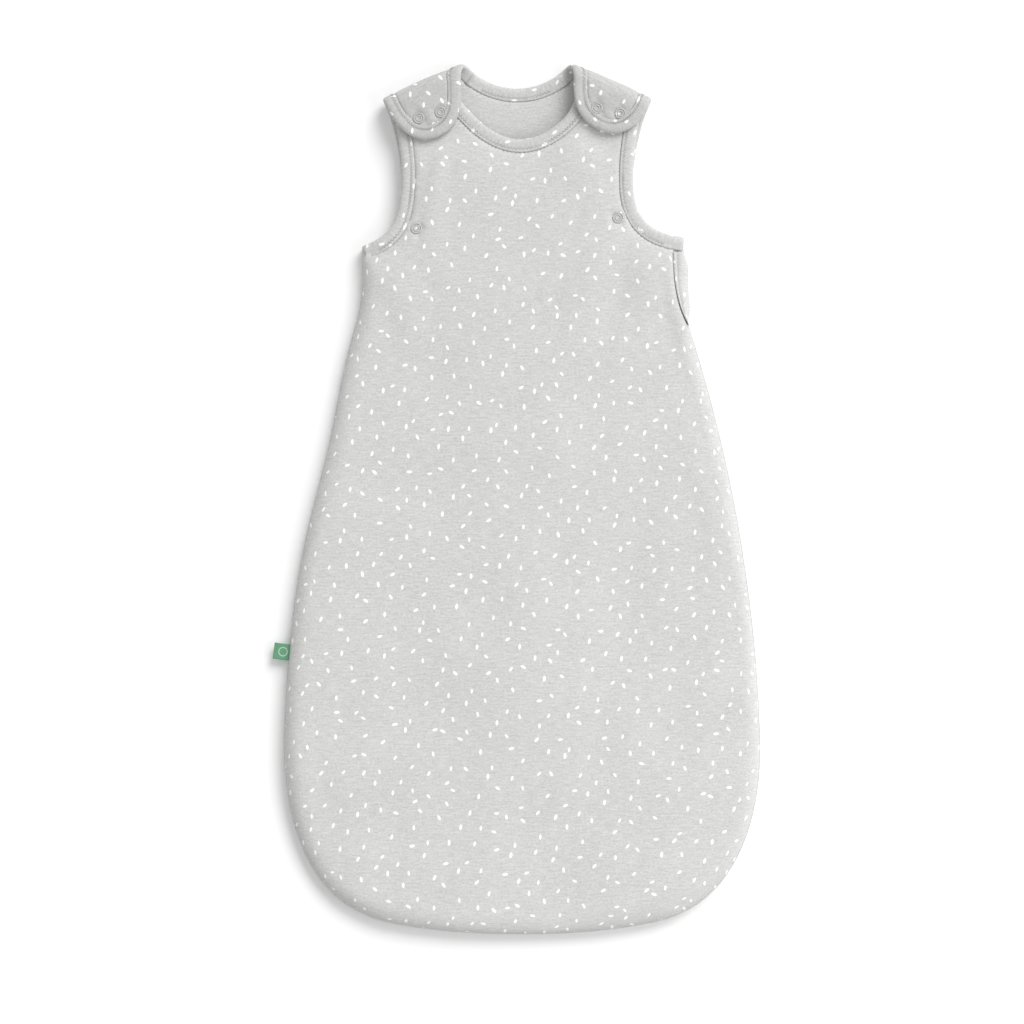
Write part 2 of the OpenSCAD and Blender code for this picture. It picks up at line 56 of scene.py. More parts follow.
NECK_X = -3.0
LEFT_UNDER, RIGHT_UNDER = np.array([128.0, 203.0]), np.array([131.0, 210.5])
SIDE_R, WIDE, WIDE_Y = 1192.0, 193.0, -228.0
CENTRE = np.array([WIDE - SIDE_R, WIDE_Y])
HEM_CORNER = np.array([105.0, -341.0])
MOUTH_A, CORNER_A = math.asin((140 - WIDE_Y) / SIDE_R), math.asin((-190 - WIDE_Y) / SIDE_R)
FOLD = np.array([45.0, 350.0])
FOLD_LEN, FOLD_A = 69.4, math.radians(23.8)
# FW runs outwards along the shoulder fold, and FI from the fold down the front
FW = np.array([math.cos(FOLD_A), -math.sin(FOLD_A)])
FI = np.array([-math.sin(FOLD_A), -math.cos(FOLD_A)])
# Width of a bound edge, how far in from the edge the cloth is held down, and where it starts to swell
BIND, BIND_HELD, BIND_FREE = 11.0, 10.7, 11.6
GARAGE_WIDE, NECK_SKEW = 8, 2.4
# How far one edge of each strap stands off the front
STRAP_LOOSE = {1: 2.6, -1: 1.6}
ROLL_Z, ROLL_R, ROLL_MID = 9.9, 9.7, 7.7
ROLL_LEN = math.pi * ROLL_MID
STRAP_REACH = {1: 41.5, -1: 47.0}
STRAP_STUDS = {1: ((32.0, 25.8), (50.9, 22.3)), -1: ((31.2, 29.8), (49.2, 27.2))}
UNDER_STUDS = (np.array([-84.0, 217.5]), np.array([78.0, 226.0]))


def step01(t):
    t = np.clip(t, 0, 1)
    return t * t * (3 - 2 * t)


def bezier(p, n=24):
    t = np.linspace(0, 1, n + 1)[:, None]
    p = np.array(p, float)
    return (1 - t) ** 3 * p[0] + 3 * (1 - t) ** 2 * t * p[1] + 3 * (1 - t) * t * t * p[2] + t**3 * p[3]


def join(*lines):
    out = [np.asarray(lines[0], float)]
    for x in lines[1:]:
        x = np.asarray(x, float)
        out.append(x[1:] if np.linalg.norm(x[0] - out[-1][-1]) < 1e-6 else x)
    return np.concatenate(out)


def flip(line):
    return (line * [-1, 1])[::-1]


def along(line):
    return np.concatenate([[0], np.cumsum(np.linalg.norm(np.diff(line, axis=0), axis=1))])


def spaced(line, step):
    s = along(line)
    n = max(2, int(round(s[-1] / step)) + 1)
    at = np.linspace(0, s[-1], n)
    return np.stack([np.interp(at, s, line[:, k]) for k in range(line.shape[1])], axis=1)


def inward(line):
    """Outlines run clockwise, so the cloth is on the right."""
    d = np.gradient(line, axis=0)
    d /= np.linalg.norm(d, axis=1)[:, None]
    return np.stack([d[:, 1], -d[:, 0]], axis=1)


def on_arc(a, r=SIDE_R):
    return CENTRE + r * np.array([math.cos(a), math.sin(a)])


MOUTH = on_arc(MOUTH_A)
mouth_way = np.array([math.sin(MOUTH_A), -math.cos(MOUTH_A)])
side_top, left_top = (bezier([p, p - [0.5, 22], MOUTH - 22 * mouth_way, MOUTH]) for p in (RIGHT_UNDER, LEFT_UNDER))
side_arc = np.array([on_arc(a) for a in np.linspace(MOUTH_A, CORNER_A, 60)])
corner_way = np.array([math.sin(CORNER_A), -math.cos(CORNER_A)])
hem_way = np.array([math.cos(math.radians(11)), math.sin(math.radians(11))])
corner = bezier([side_arc[-1], side_arc[-1] + 74 * corner_way, HEM_CORNER + 66 * hem_way, HEM_CORNER], 40)
hem = bezier([HEM_CORNER, HEM_CORNER - 37 * hem_way, [37, -350], [0, -350]])
side_line = join(side_top, side_arc, corner)
zip_line = join(side_line, hem, flip(hem))
seam_line = flip(join(left_top, side_arc, corner))
# The left side lies a little further in than the right one, and runs straighter below the chest.
seam_line[:, 0] *= 1 - 0.009 * step01((seam_line[:, 1] + 341) / 70) * (1 - step01((seam_line[:, 1] - 150) / 53))
WAIST_Y, WAIST_IN = 45, 5.5
past_waist = seam_line[:, 1] - WAIST_Y
seam_line[:, 0] += WAIST_IN * np.exp(-((past_waist / np.where(past_waist > 0, 58, 72)) ** 2))
full_line = join(zip_line, seam_line)
garage_share = 1 - np.linspace(0, 1, len(side_top)) ** 2
garage_edge = side_top + GARAGE_WIDE * garage_share[:, None] * inward(side_top)


def by_fold(u, v):
    return FOLD + u * FW + v * FI


TAB_V = ROLL_R + 4.5
NECK_HALF, FRONT_NECK_Y, BACK_NECK_Y = 46.5, 289.5, 331.5
tab_in, tab_out = by_fold(8, TAB_V), by_fold(66, TAB_V)
neck_curve = bezier([[0, FRONT_NECK_Y], [NECK_HALF * 0.37, FRONT_NECK_Y],
                     [NECK_HALF * 0.77, FRONT_NECK_Y + 13.5], [NECK_HALF, FRONT_NECK_Y + 32]], 40)
tab_corner = bezier([[NECK_HALF, tab_in[1] - 6], [NECK_HALF, tab_in[1]], tab_in, by_fold(14, TAB_V)], 8)
ROOT = -6.7
back_neck_half = bezier([[0, BACK_NECK_Y], [13, BACK_NECK_Y], [24, BACK_NECK_Y + 4.3], by_fold(ROOT, ROLL_R)], 30)
CHEST = np.array([93.5, 248.0])


def arm_low(side):
    end = (RIGHT_UNDER if side > 0 else LEFT_UNDER) - [side * NECK_X, 0]
    return bezier([CHEST, CHEST + [2, -26], end + ([-22, 2] if side > 0 else [-23, 9]), end], 40)


arm_front = bezier([tab_out, tab_out - [4.8, 20], CHEST + [-1.5, 20], CHEST], 40)
arm_back = bezier([by_fold(FOLD_LEN, ROLL_R), by_fold(FOLD_LEN, ROLL_R) - [6, 14], CHEST + [-1.5, 20], CHEST], 40)


def place(line, side):
    return line * [side, 1] + [NECK_X, 0]


def both(half):
    return join(place(half, -1)[::-1], place(half, 1))


def skew(line):
    """The front neckline lies a little to the right of the shoulders."""
    return line + np.outer(NECK_SKEW * (1 - step01((line[:, 1] - 306) / 18)), [1, 0])


front_neck = skew(both(join(neck_curve, tab_corner)))
back_neck = both(back_neck_half)
arms_front = {s: join(arm_front, arm_low(s)) for s in (1, -1)}
arms_back = {s: join(arm_back, arm_low(s)) for s in (1, -1)}
right_front_arm, left_front_arm = place(arms_front[1], 1), place(arms_front[-1], -1)[::-1]
right_back_arm, left_back_arm = place(arms_back[1], 1), place(arms_back[-1], -1)[::-1]
front_side = join(garage_edge, side_arc, corner, hem, flip(hem), seam_line)


def looped(line):
    return np.vstack([line, line[:1]])


def closed(line, step):
    return spaced(looped(line), step)[:-1]


# ---------------------------------------- measuring


def to_line(points, line):
    """(distance, place along the line, outward direction) of each point."""
    a, b = line[:-1], line[1:]
    d = b - a
    l2 = (d * d).sum(1)
    s = along(line)[:-1]
    lens = np.sqrt(l2)
    dist, where, way = [], [], []
    for k in range(0, len(points), 2000):
        p = points[k : k + 2000]
        t = np.clip(((p[:, None] - a) * d).sum(2) / np.maximum(l2, 1e-12), 0, 1)
        q = a + t[..., None] * d
        r = np.linalg.norm(p[:, None] - q, axis=2)
        i = r.argmin(1)
        j = np.arange(len(p))
        dist.append(r[j, i])
        where.append(s[i] + t[j, i] * lens[i])
        way.append(q[j, i] - p)
    way = np.concatenate(way)
    way /= np.maximum(np.linalg.norm(way, axis=1), 1e-9)[:, None]
    return np.concatenate(dist), np.concatenate(where), way


def inside(points, poly):
    x, y = points[:, 0], points[:, 1]
    x0, y0 = poly[:, 0], poly[:, 1]
    x1, y1 = np.roll(x0, -1), np.roll(y0, -1)
    result = np.zeros(len(points), bool)
    for k in range(0, len(points), 4000):
        xs, ys = x[k : k + 4000, None], y[k : k + 4000, None]
        cross = ((y0 > ys) != (y1 > ys)) & (xs < (x1 - x0) * (ys - y0) / (y1 - y0 + 1e-12) + x0)
        result[k : k + 4000] = cross.sum(1) % 2 == 1
    return result


def dome(t):
    t = np.clip(t, 0, 1)
    return np.sqrt(np.maximum(1 - (1 - t) ** 2, 0))


def softmin(a, b, k=0.8):
    m = np.minimum(a, b)
    return m - k * np.log(np.exp(-(a - m) / k) + np.exp(-(b - m) / k))


def waves(points, length, amount, seed, stretch=(1.0, 1.0), n=14):
    """Smooth noise of about that wavelength, as a sum of plane waves."""
    r = np.random.default_rng(seed)
    out = np.zeros(len(points))
    for _ in range(n):
        a, ph, k = r.uniform(0, math.pi), r.uniform(0, 2 * math.pi), 2 * math.pi / (length * r.uniform(0.7, 1.5))
        out += np.sin(k * (points[:, 0] * math.cos(a) / stretch[0] + points[:, 1] * math.sin(a) / stretch[1]) + ph)
    return out * amount / math.sqrt(n / 2)


def ridge(points, a, b, width, height):
    """A soft fold along a line, fading at both ends."""
    a, b = np.array(a, float), np.array(b, float)
    d = b - a
    t = np.clip(((points - a) @ d) / (d @ d), 0, 1)
    r = np.linalg.norm(points - a - t[:, None] * d, axis=1)
    return height * np.exp(-((r / width) ** 2)) * np.sin(np.pi * np.clip(t * 0.9 + 0.05, 0, 1)) ** 0.7


# ---------------------------------------- meshes


def make_object(name, verts, faces, mats, face_mats=None, uv=None):
    me = bpy.data.meshes.new(name)
    me.from_pydata([tuple(v) for v in np.asarray(verts) * MM], [], [tuple(int(i) for i in f) for f in faces])
    me.update()
    for m in mats:
        me.materials.append(m)
    if face_mats is not None:
        me.polygons.foreach_set("material_index", np.asarray(face_mats, np.int32))
    if uv is not None:
        layer = me.uv_layers.new(name="cloth")
        layer.data.foreach_set("uv", (np.asarray(uv, float) * MM).astype(np.float32).ravel())
    me.polygons.foreach_set("use_smooth", [True] * len(me.polygons))
    me.validate()
    me.update()
    ob = bpy.data.objects.new(name, me)
    bpy.context.scene.collection.objects.link(ob)
    return ob


# Rings of points round a press stud: (radius, count). Other points keep STUD_CLEAR away.
STUD_CLEAR = 10.5
STUD_RINGS = ((1.5, 6), (2.8, 10), (3.9, 20), (4.5, 26), (5.1, 26), (5.8, 26), (7.4, 28), (9.4, 30))


def plan(outline, rings, grid, step, spots):
    """(points, triangles, which points are on the edge) inside a closed outline, denser near its edge and the spots."""
    edge = closed(outline, step)
    loop = looped(edge)
    norm = inward(np.vstack([edge[-2:], edge, edge[:2]]))[2:-2]
    extra = []
    for i, d in enumerate(rings):
        p = edge + norm * d
        if i % 2:
            p = (p + np.roll(p, -1, axis=0)) / 2
        p = p[inside(p, edge)]
        dist, _, _ = to_line(p, loop)
        p = p[dist > 0.9 * d]
        extra.append(p)
    lo, hi = edge.min(0), edge.max(0)
    xs = np.arange(lo[0], hi[0], grid)
    ys = np.arange(lo[1], hi[1], grid * 0.866)
    gx, gy = np.meshgrid(xs, ys)
    gx = gx + (np.arange(len(ys)) % 2)[:, None] * grid / 2
    p = np.stack([gx.ravel(), gy.ravel()], axis=1)
    p = p[inside(p, edge)]
    dist, _, _ = to_line(p, loop)
    extra.append(p[dist > rings[-1] + 0.55 * grid])
    for c in spots:
        extra = [e[np.linalg.norm(e - c, axis=1) > STUD_CLEAR] for e in extra]
    for c in spots:
        near = [np.array([c])]
        for r, count in STUD_RINGS:
            a = np.arange(count) * 2 * math.pi / count + r
            near.append(c + r * np.column_stack([np.cos(a), np.sin(a)]))
        near = np.vstack(near)
        near = near[inside(near, edge)]
        extra.append(near[to_line(near, loop)[0] > 0.5])
    pts = np.vstack([edge] + extra)
    n = len(edge)
    verts, _, faces, orig, _, _ = geometry.delaunay_2d_cdt(
        [Vector(p) for p in pts], [(i, (i + 1) % n) for i in range(n)], [], 1, 1e-5)
    source = [o[0] if o else -1 for o in orig]
    out = np.array([[v.x, v.y] for v in verts])
    tris = []
    for f in faces:
        f = list(f)
        a, b, c = out[f[0]], out[f[1]], out[f[2]]
        area = (b[0] - a[0]) * (c[1] - a[1]) - (b[1] - a[1]) * (c[0] - a[0])
        if abs(area) > 1e-9:
            tris.append(f if area > 0 else f[::-1])
    rim = np.array([0 <= s < n for s in source])
    return out, np.array(tris), rim


def quilt(name, flat, top, bottom, rim_z, mapper, mats, uv_top, uv_bottom, top_is_outer=True):
    """A closed two-sided piece: top and bottom heights over the same plan, sharing the rim."""
    pts, tris, rim = flat
    n = len(pts)
    low_index = np.full(n, -1)
    inner = np.flatnonzero(~rim)
    low_index[rim] = np.flatnonzero(rim)
    low_index[inner] = n + np.arange(len(inner))
    upper = mapper(pts, np.where(rim, rim_z, top))
    lower = mapper(pts[inner], bottom[inner])
    verts = np.vstack([upper, lower])
    faces = np.vstack([tris, low_index[tris][:, ::-1]])
    uv = np.vstack([uv_top[tris].reshape(-1, 3, 2), uv_bottom[tris][:, ::-1].reshape(-1, 3, 2)])
    kinds = np.repeat([0, 1] if top_is_outer else [1, 0], len(tris))
    return make_object(name, verts, faces, mats, kinds, uv.reshape(-1, 2))


def sweep(name, rim, section, mapper, mats, wobble=0.0, uv_shift=(0.0, 0.0), taper=None, bend=None):
    """A strip that follows a rim: section is a closed loop of (inset, height)."""
    n_in = inward(rim)
    s = along(rim)
    verts = []
    for a, h in section:
        hh = np.full(len(rim), h, float)
        if wobble:
            hh = hh + wobble * np.sin(s / 7.3 + h) * 0.4 + wobble * np.sin(s / 2.9 + 1.7 * h) * 0.3
        inset = np.full(len(rim), a, float) if taper is None else taper(a, s)
        hh = hh if bend is None else bend(hh, s)
        verts.append(mapper(rim + inset[:, None] * n_in, hh))
    verts = np.stack(verts, axis=1).reshape(-1, 3)
    faces, uv = strip_faces(len(section), s, along(looped(section)))
    ob = make_object(name, verts, faces, mats, None, uv + np.array(uv_shift))
    tidy(ob, fill=True)
    return ob


def strip_faces(k, s, around):
    """Faces between rows of k points that lie at the lengths s, and their (around, along) cloth places in mm."""
    faces, uv = [], []
    for i in range(len(s) - 1):
        for j in range(k):
            corners = ((i, j), (i, j + 1), (i + 1, j + 1), (i + 1, j))
            faces.append(tuple(a * k + b % k for a, b in corners))
            uv += [(around[b], s[a]) for a, b in corners]
    return faces, np.array(uv)


def flat_map(z0=0.0):
    """Lays a piece out flat, with its heights measured from z0."""
    return lambda p, h: np.column_stack([p, h + z0])


def shoulder_map(side):
    """From the strap laid out flat, (across, along, height off its middle), to its place over the shoulder."""

    def go(p, h):
        u, s = p[:, 0], p[:, 1]
        h = np.asarray(h, float)
        roll = np.clip(s, 0, ROLL_LEN) / ROLL_MID - math.pi / 2
        r = ROLL_MID + h
        y = -ROLL_R + r * np.cos(roll)
        z = ROLL_Z + r * np.sin(roll)
        # one edge of each tongue stands a little off the front
        loose = 1 - step01(u / 29) if side > 0 else step01((u - 50) / 20)
        z = z + STRAP_LOOSE[side] * loose * step01((s - ROLL_LEN - 2) / 16)
        y = np.where(s < 0, -ROLL_R + s, y)
        y = np.where(s > ROLL_LEN, -ROLL_R - (s - ROLL_LEN), y)
        wx = FOLD[0] + u * math.cos(FOLD_A) + y * math.sin(FOLD_A)
        wy = FOLD[1] - u * math.sin(FOLD_A) + y * math.cos(FOLD_A)
        return np.column_stack([side * wx + NECK_X, wy, z])

    return go


def stitches(name, rim, first, last, height, mapper, mat, pitch=2.4, thick=0.2, skip=(2.0, 2.0)):
    """Thread lying on the cloth: a zigzag between two insets, or a running stitch where they are the same."""
    s = along(rim)
    n_in = inward(rim)
    running = abs(first - last) < 1e-6
    count = int((s[-1] - sum(skip)) / pitch)
    s0 = skip[0] + pitch * np.arange(count)
    if running:
        legs = [(s0, s0 + 0.72 * pitch, first, last)]
    else:
        legs = [(s0, s0 + pitch / 2, first, last), (s0 + pitch / 2, s0 + pitch, last, first)]
    ring, caps = 6, 5
    ang = 2 * math.pi * np.arange(ring) / ring
    verts, faces = [], []
    for leg, (start, end, a, b) in enumerate(legs):
        rows = []
        for k in range(caps):
            f = k / (caps - 1)
            at = start + (end - start) * f
            q = np.column_stack([np.interp(at, s, rim[:, 0]), np.interp(at, s, rim[:, 1])])
            nn = np.column_stack([np.interp(at, s, n_in[:, 0]), np.interp(at, s, n_in[:, 1])])
            nn /= np.linalg.norm(nn, axis=1)[:, None]
            tt = np.column_stack([-nn[:, 1], nn[:, 0]])
            side = nn if running else tt
            q = q + nn * (a + (b - a) * f)
            r = thick * (0.5 + 0.5 * math.sin(math.pi * f))
            lift = 0.18 * math.sin(math.pi * f) - 0.12
            p = q[:, None] + side[:, None] * (r * np.cos(ang))[None, :, None]
            z = np.broadcast_to(height + lift + r * np.sin(ang), p.shape[:2])
            rows.append(np.concatenate([p, z[..., None]], axis=2))
        verts.append(np.stack(rows, axis=1).reshape(-1, 3))
        for i in range(count):
            at = (leg * count + i) * caps * ring
            for k in range(caps - 1):
                for j in range(ring):
                    j2 = (j + 1) % ring
                    u, w = at + k * ring, at + (k + 1) * ring
                    faces.append((u + j, u + j2, w + j2, w + j))
            faces.append(tuple(at + j for j in range(ring))[::-1])
            faces.append(tuple(at + (caps - 1) * ring + j for j in range(ring)))
    v = np.vstack(verts)
    ob = make_object(name, mapper(v[:, :2], v[:, 2]), faces, [mat])
    tidy(ob)
    return ob


def tidy(ob, fill=False, merge=None):
    """Faces outwards, holes closed and doubles merged where asked, shaded smooth."""
    bm = bmesh.new()
    bm.from_mesh(ob.data)
    if merge:
        bmesh.ops.remove_doubles(bm, verts=bm.verts, dist=merge)
    holes = [e for e in bm.edges if e.is_boundary]
    if fill and holes:
        bmesh.ops.triangulate(bm, faces=bmesh.ops.holes_fill(bm, edges=holes, sides=0)["faces"])
    bmesh.ops.recalc_face_normals(bm, faces=bm.faces)
    bm.to_mesh(ob.data)
    bm.free()
    ob.data.polygons.foreach_set("use_smooth", [True] * len(ob.data.polygons))


# ---------------------------------------- materials


def new_material(name):
    m = bpy.data.materials.new(name)
    m.use_nodes = True
    nt = m.node_tree
    for n in list(nt.nodes):
        nt.nodes.remove(n)
    out = nt.nodes.new("ShaderNodeOutputMaterial")
    p = nt.nodes.new("ShaderNodeBsdfPrincipled")
    nt.links.new(p.outputs["BSDF"], out.inputs["Surface"])
    return m, nt, p


def feed(nt, socket, value):
    """Links a socket to another one, or sets it."""
    if isinstance(value, bpy.types.NodeSocket):
        nt.links.new(value, socket)
    else:
        socket.default_value = value


def wire(nt, n, **inputs):
    """Feeds a node's inputs by name, with _ for a space."""
    for k, v in inputs.items():
        feed(nt, n.inputs[k.replace("_", " ")], v)
    return n


def node(nt, kind, inputs, **settings):
    n = nt.nodes.new(kind)
    for k, v in settings.items():
        setattr(n, k, v)
    return wire(nt, n, **inputs)


def maths(nt, op, *values, clamp=False):
    n = node(nt, "ShaderNodeMath", {}, operation=op, use_clamp=clamp)
    for socket, v in zip(n.inputs, values):
        feed(nt, socket, v)
    return n.outputs[0]


def noise(nt, place, scale=1.0, detail=2.0, rough=0.5, flat=True):
    inputs = dict(Vector=place, Scale=scale, Detail=detail, Roughness=rough)
    return node(nt, "ShaderNodeTexNoise", inputs, noise_dimensions="2D" if flat else "3D").outputs[0]


def mapped(nt, source, scale, offset=(0, 0, 0), rot=0.0):
    n = node(nt, "ShaderNodeMapping", dict(Vector=source, Scale=scale, Location=offset, Rotation=(0, 0, rot)))
    return n.outputs[0]


def parted(nt, source, kind="ShaderNodeSeparateXYZ"):
    """The x, y and z of a vector, or the channels of a colour."""
    n = nt.nodes.new(kind)
    nt.links.new(source, n.inputs[0])
    return n.outputs


def mix_colour(nt, factor, a, b):
    n = node(nt, "ShaderNodeMix", {}, data_type="RGBA")
    for socket, v in ((n.inputs[0], factor), (n.inputs[6], a), (n.inputs[7], b)):
        feed(nt, socket, (*v, 1) if isinstance(v, tuple) else v)
    return n.outputs[2]


def shades(base, low, high):
    """A darker and a lighter colour than base, as shares of it."""
    return tuple(c * low for c in base), tuple(min(1, c * high) for c in base)


def bumped(nt, height, strength, depth):
    return node(nt, "ShaderNodeBump", dict(Height=height, Strength=strength, Distance=depth)).outputs[0]


def cloth_uv(nt):
    return node(nt, "ShaderNodeUVMap", {}, uv_map="cloth").outputs[0]


# The print: cells to the metre with one grain in each, and half the width and half the length of a grain in m
GRAINS, GRAIN_WIDE, GRAIN_LONG = 66, 0.00111, 0.00218


def print_grains(nt, uv, ragged):
    """1 on the rice grains of the print and 0 off them: one grain to a cell, each turned and sized by its own draw."""
    scaled = mapped(nt, uv, (GRAINS, GRAINS, GRAINS), rot=0.52)
    cells = node(nt, "ShaderNodeTexVoronoi", dict(Vector=scaled, Scale=1.0, Randomness=0.66),
                 voronoi_dimensions="2D", feature="F1")
    diff = node(nt, "ShaderNodeVectorMath", {}, operation="SUBTRACT")
    feed(nt, diff.inputs[0], scaled)
    feed(nt, diff.inputs[1], cells.outputs["Position"])
    x, y, _ = parted(nt, diff.outputs[0])
    turn, grow, _ = parted(nt, cells.outputs["Color"], "ShaderNodeSeparateColor")
    q = maths(nt, "MULTIPLY_ADD", turn, 2.0, -1.0)
    spread = maths(nt, "MULTIPLY", q, maths(nt, "POWER", maths(nt, "ABSOLUTE", q), 0.9))
    angle = maths(nt, "MULTIPLY_ADD", spread, 1.45, -0.40)
    c, s = maths(nt, "COSINE", angle), maths(nt, "SINE", angle)
    across = maths(nt, "SUBTRACT", maths(nt, "MULTIPLY", x, c), maths(nt, "MULTIPLY", y, s))
    length = maths(nt, "ADD", maths(nt, "MULTIPLY", x, s), maths(nt, "MULTIPLY", y, c))
    size = maths(nt, "MULTIPLY_ADD", grow, 0.25, 0.88)
    parts = []
    for way, half in ((across, GRAIN_WIDE), (length, GRAIN_LONG)):
        share = maths(nt, "DIVIDE", way, maths(nt, "MULTIPLY", size, half * GRAINS))
        parts.append(maths(nt, "POWER", maths(nt, "ABSOLUTE", share), 1.9))
    edge = maths(nt, "ADD", maths(nt, "ADD", *parts), maths(nt, "MULTIPLY", ragged, 0.5))
    fade = dict(Value=edge, From_Min=0.75, From_Max=1.2, To_Min=1.0, To_Max=0.0)
    return node(nt, "ShaderNodeMapRange", fade, interpolation_type="SMOOTHSTEP").outputs[0]


def jersey(name, base, printed, seed=0.0):
    """Melange single jersey: streaks that run across the wales, fine knit ribs, and the rice-grain print."""
    m, nt, p = new_material(name)
    uv = mapped(nt, cloth_uv(nt), (1, 1, 1), (0.31 + seed, 0.77 - seed, seed))
    streaks, specks, clouds = (maths(nt, "SUBTRACT", n, 0.5) for n in (
        noise(nt, mapped(nt, uv, (115, 640, 1), rot=0.05), detail=3.0, rough=0.6),
        noise(nt, mapped(nt, uv, (500, 780, 1), (3, 5, 0), -0.05), rough=0.55),
        noise(nt, uv, 28.0),
    ))
    melange = maths(nt, "MULTIPLY_ADD", streaks, 0.75, maths(nt, "MULTIPLY", specks, 0.8))
    melange = maths(nt, "MULTIPLY_ADD", clouds, 0.12, melange)
    tone = maths(nt, "ADD", melange, 0.5, clamp=True)
    colour = mix_colour(nt, tone, *shades(base, 0.76, 1.24))
    # wales and courses of the knit
    x, y, _ = parted(nt, uv)
    wale = maths(nt, "SINE", maths(nt, "MULTIPLY", x, 2 * math.pi / 0.00085))
    course = maths(nt, "SINE", maths(nt, "MULTIPLY", y, 2 * math.pi / 0.0011))
    knit = maths(nt, "MULTIPLY_ADD", wale, 0.5, maths(nt, "MULTIPLY", course, 0.22))
    if printed:
        grain = print_grains(nt, uv, specks)
        colour = mix_colour(nt, maths(nt, "MULTIPLY", grain, 0.97), colour, (0.93, 0.93, 0.925))
        rough = maths(nt, "MULTIPLY_ADD", grain, -0.12, 0.9)
    else:
        rough = maths(nt, "MULTIPLY_ADD", tone, 0.06, 0.86)
    height = maths(nt, "MULTIPLY_ADD", melange, 0.5, maths(nt, "MULTIPLY", knit, 0.35))
    wire(nt, p, Base_Color=colour, Roughness=rough, Normal=bumped(nt, height, 0.35, 0.00012),
         Sheen_Weight=0.18, Sheen_Roughness=0.5, Specular_IOR_Level=0.25)
    return m


def enamel(name, base, rough=0.34, metal=0.0):
    """Painted metal or plastic, with a faint orange peel."""
    m, nt, p = new_material(name)
    place = nt.nodes.new("ShaderNodeTexCoord").outputs["Object"]
    fine, broad = noise(nt, place, 900.0, 3.0, flat=False), noise(nt, place, 160.0, flat=False)
    tone = maths(nt, "MULTIPLY_ADD", maths(nt, "SUBTRACT", broad, 0.5), 0.35, 0.5, clamp=True)
    wire(nt, p, Base_Color=mix_colour(nt, tone, *shades(base, 0.9, 1.08)),
         Roughness=maths(nt, "MULTIPLY_ADD", fine, 0.16, rough - 0.08), Normal=bumped(nt, fine, 0.12, 0.00003),
         Metallic=metal, Coat_Weight=0.25, Coat_Roughness=0.25)
    return m


def thread_material(name, base):
    m, nt, p = new_material(name)
    fibre = noise(nt, nt.nodes.new("ShaderNodeTexCoord").outputs["Object"], 2600.0, flat=False)
    wire(nt, p, Base_Color=mix_colour(nt, fibre, *shades(base, 0.8, 1.1)),
         Roughness=maths(nt, "MULTIPLY_ADD", fibre, 0.2, 0.6), Sheen_Weight=0.15)
    return m


def weave_material(name, base, warp=0.0006, mark=None):
    """Woven tape or ribbon, with a fine rib. mark is the middle of a plain woven ring, in mm."""
    m, nt, p = new_material(name)
    uv = cloth_uv(nt)
    x, y, _ = parted(nt, uv)
    a = maths(nt, "SINE", maths(nt, "MULTIPLY", x, 2 * math.pi / warp))
    b = maths(nt, "SINE", maths(nt, "MULTIPLY", y, 2 * math.pi / (warp * 0.7)))
    w = maths(nt, "MULTIPLY", a, b)
    slub = noise(nt, mapped(nt, uv, (400, 1600, 1)))
    tone = maths(nt, "MULTIPLY_ADD", w, 0.18, maths(nt, "MULTIPLY_ADD", slub, 0.5, 0.25), clamp=True)
    colour = mix_colour(nt, tone, *shades(base, 0.78, 1.2))
    if mark:
        x, y = (maths(nt, "SUBTRACT", v, at * MM) for v, at in zip((x, y), mark))
        r = maths(nt, "SQRT", maths(nt, "ADD", maths(nt, "MULTIPLY", x, x), maths(nt, "MULTIPLY", y, y)))
        ring = maths(nt, "LESS_THAN", maths(nt, "ABSOLUTE", maths(nt, "SUBTRACT", r, 0.0034)), 0.00035)
        colour = mix_colour(nt, maths(nt, "MULTIPLY", ring, 0.75), colour, (0.62, 0.74, 0.66))
    wire(nt, p, Base_Color=colour, Roughness=maths(nt, "MULTIPLY_ADD", w, 0.05, 0.72),
         Normal=bumped(nt, w, 0.4, 0.0001), Sheen_Weight=0.2)
    return m


GREY, LINING = (0.588, 0.588, 0.575), (0.585, 0.585, 0.572)
ZIP_GREY, STUD_GREY, THREAD_GREY = (0.50, 0.50, 0.49), (0.53, 0.53, 0.52), (0.47, 0.47, 0.46)
LABEL_GREEN = (0.125, 0.335, 0.19)
jersey_print = jersey("jersey_print", GREY, True)
# The bindings are the body's own printed jersey made 5 % darker: painted shade, for how they lie darker in the light
shaded_binding_print = jersey("shaded_binding_print", tuple(c * 0.95 for c in GREY), True, seed=0.37)
# The straps are the same printed jersey made 14 % darker: painted shade, for the straps lying tilted away from the
# light
shaded_strap_print = jersey("shaded_strap_print", tuple(c * 0.86 for c in GREY), True, seed=0.52)
lining_plain = jersey("lining_plain", LINING, False, seed=0.11)
thread = thread_material("stitch_thread", THREAD_GREY)
enamel_grey = enamel("enamel_grey", STUD_GREY)
slider_grey = enamel("slider_enamel", ZIP_GREY, 0.3, 0.2)
tape_weave = weave_material("zip_tape_weave", ZIP_GREY)
coil_plastic = enamel("zip_coil_plastic", ZIP_GREY, 0.42)
label_weave = weave_material("label_weave", LABEL_GREEN, 0.0007, mark=(10.5, 6.5))

# ---------------------------------------- front panel

front_outline = join(front_neck, right_front_arm, front_side, left_front_arm)[:-1]
RINGS = (0.5, 1.4, 2.7, 4.4, 6.6, 8.8, 10.3, 10.95, 11.6, 12.9, 15.6)
flat = plan(front_outline, RINGS, 4.6, 2.6, UNDER_STUDS)
pts = flat[0]
# distances: a from the sides and the hem, b from the bound edges, t from the shoulder tabs
neck_rim = skew(both(join(neck_curve, np.array([[NECK_HALF, 345.0]]))))
dist_a, where_a, out_a = to_line(pts, front_side)
bound = [neck_rim, right_front_arm, left_front_arm]
dist_b = np.min([to_line(pts, x)[0] for x in bound], axis=0)
tab_line = {s: place(np.array([by_fold(-5, TAB_V), by_fold(80, TAB_V)]), s) for s in (1, -1)}
dist_t = np.min([to_line(pts, spaced(x, 3.0))[0] for x in tab_line.values()], axis=0)

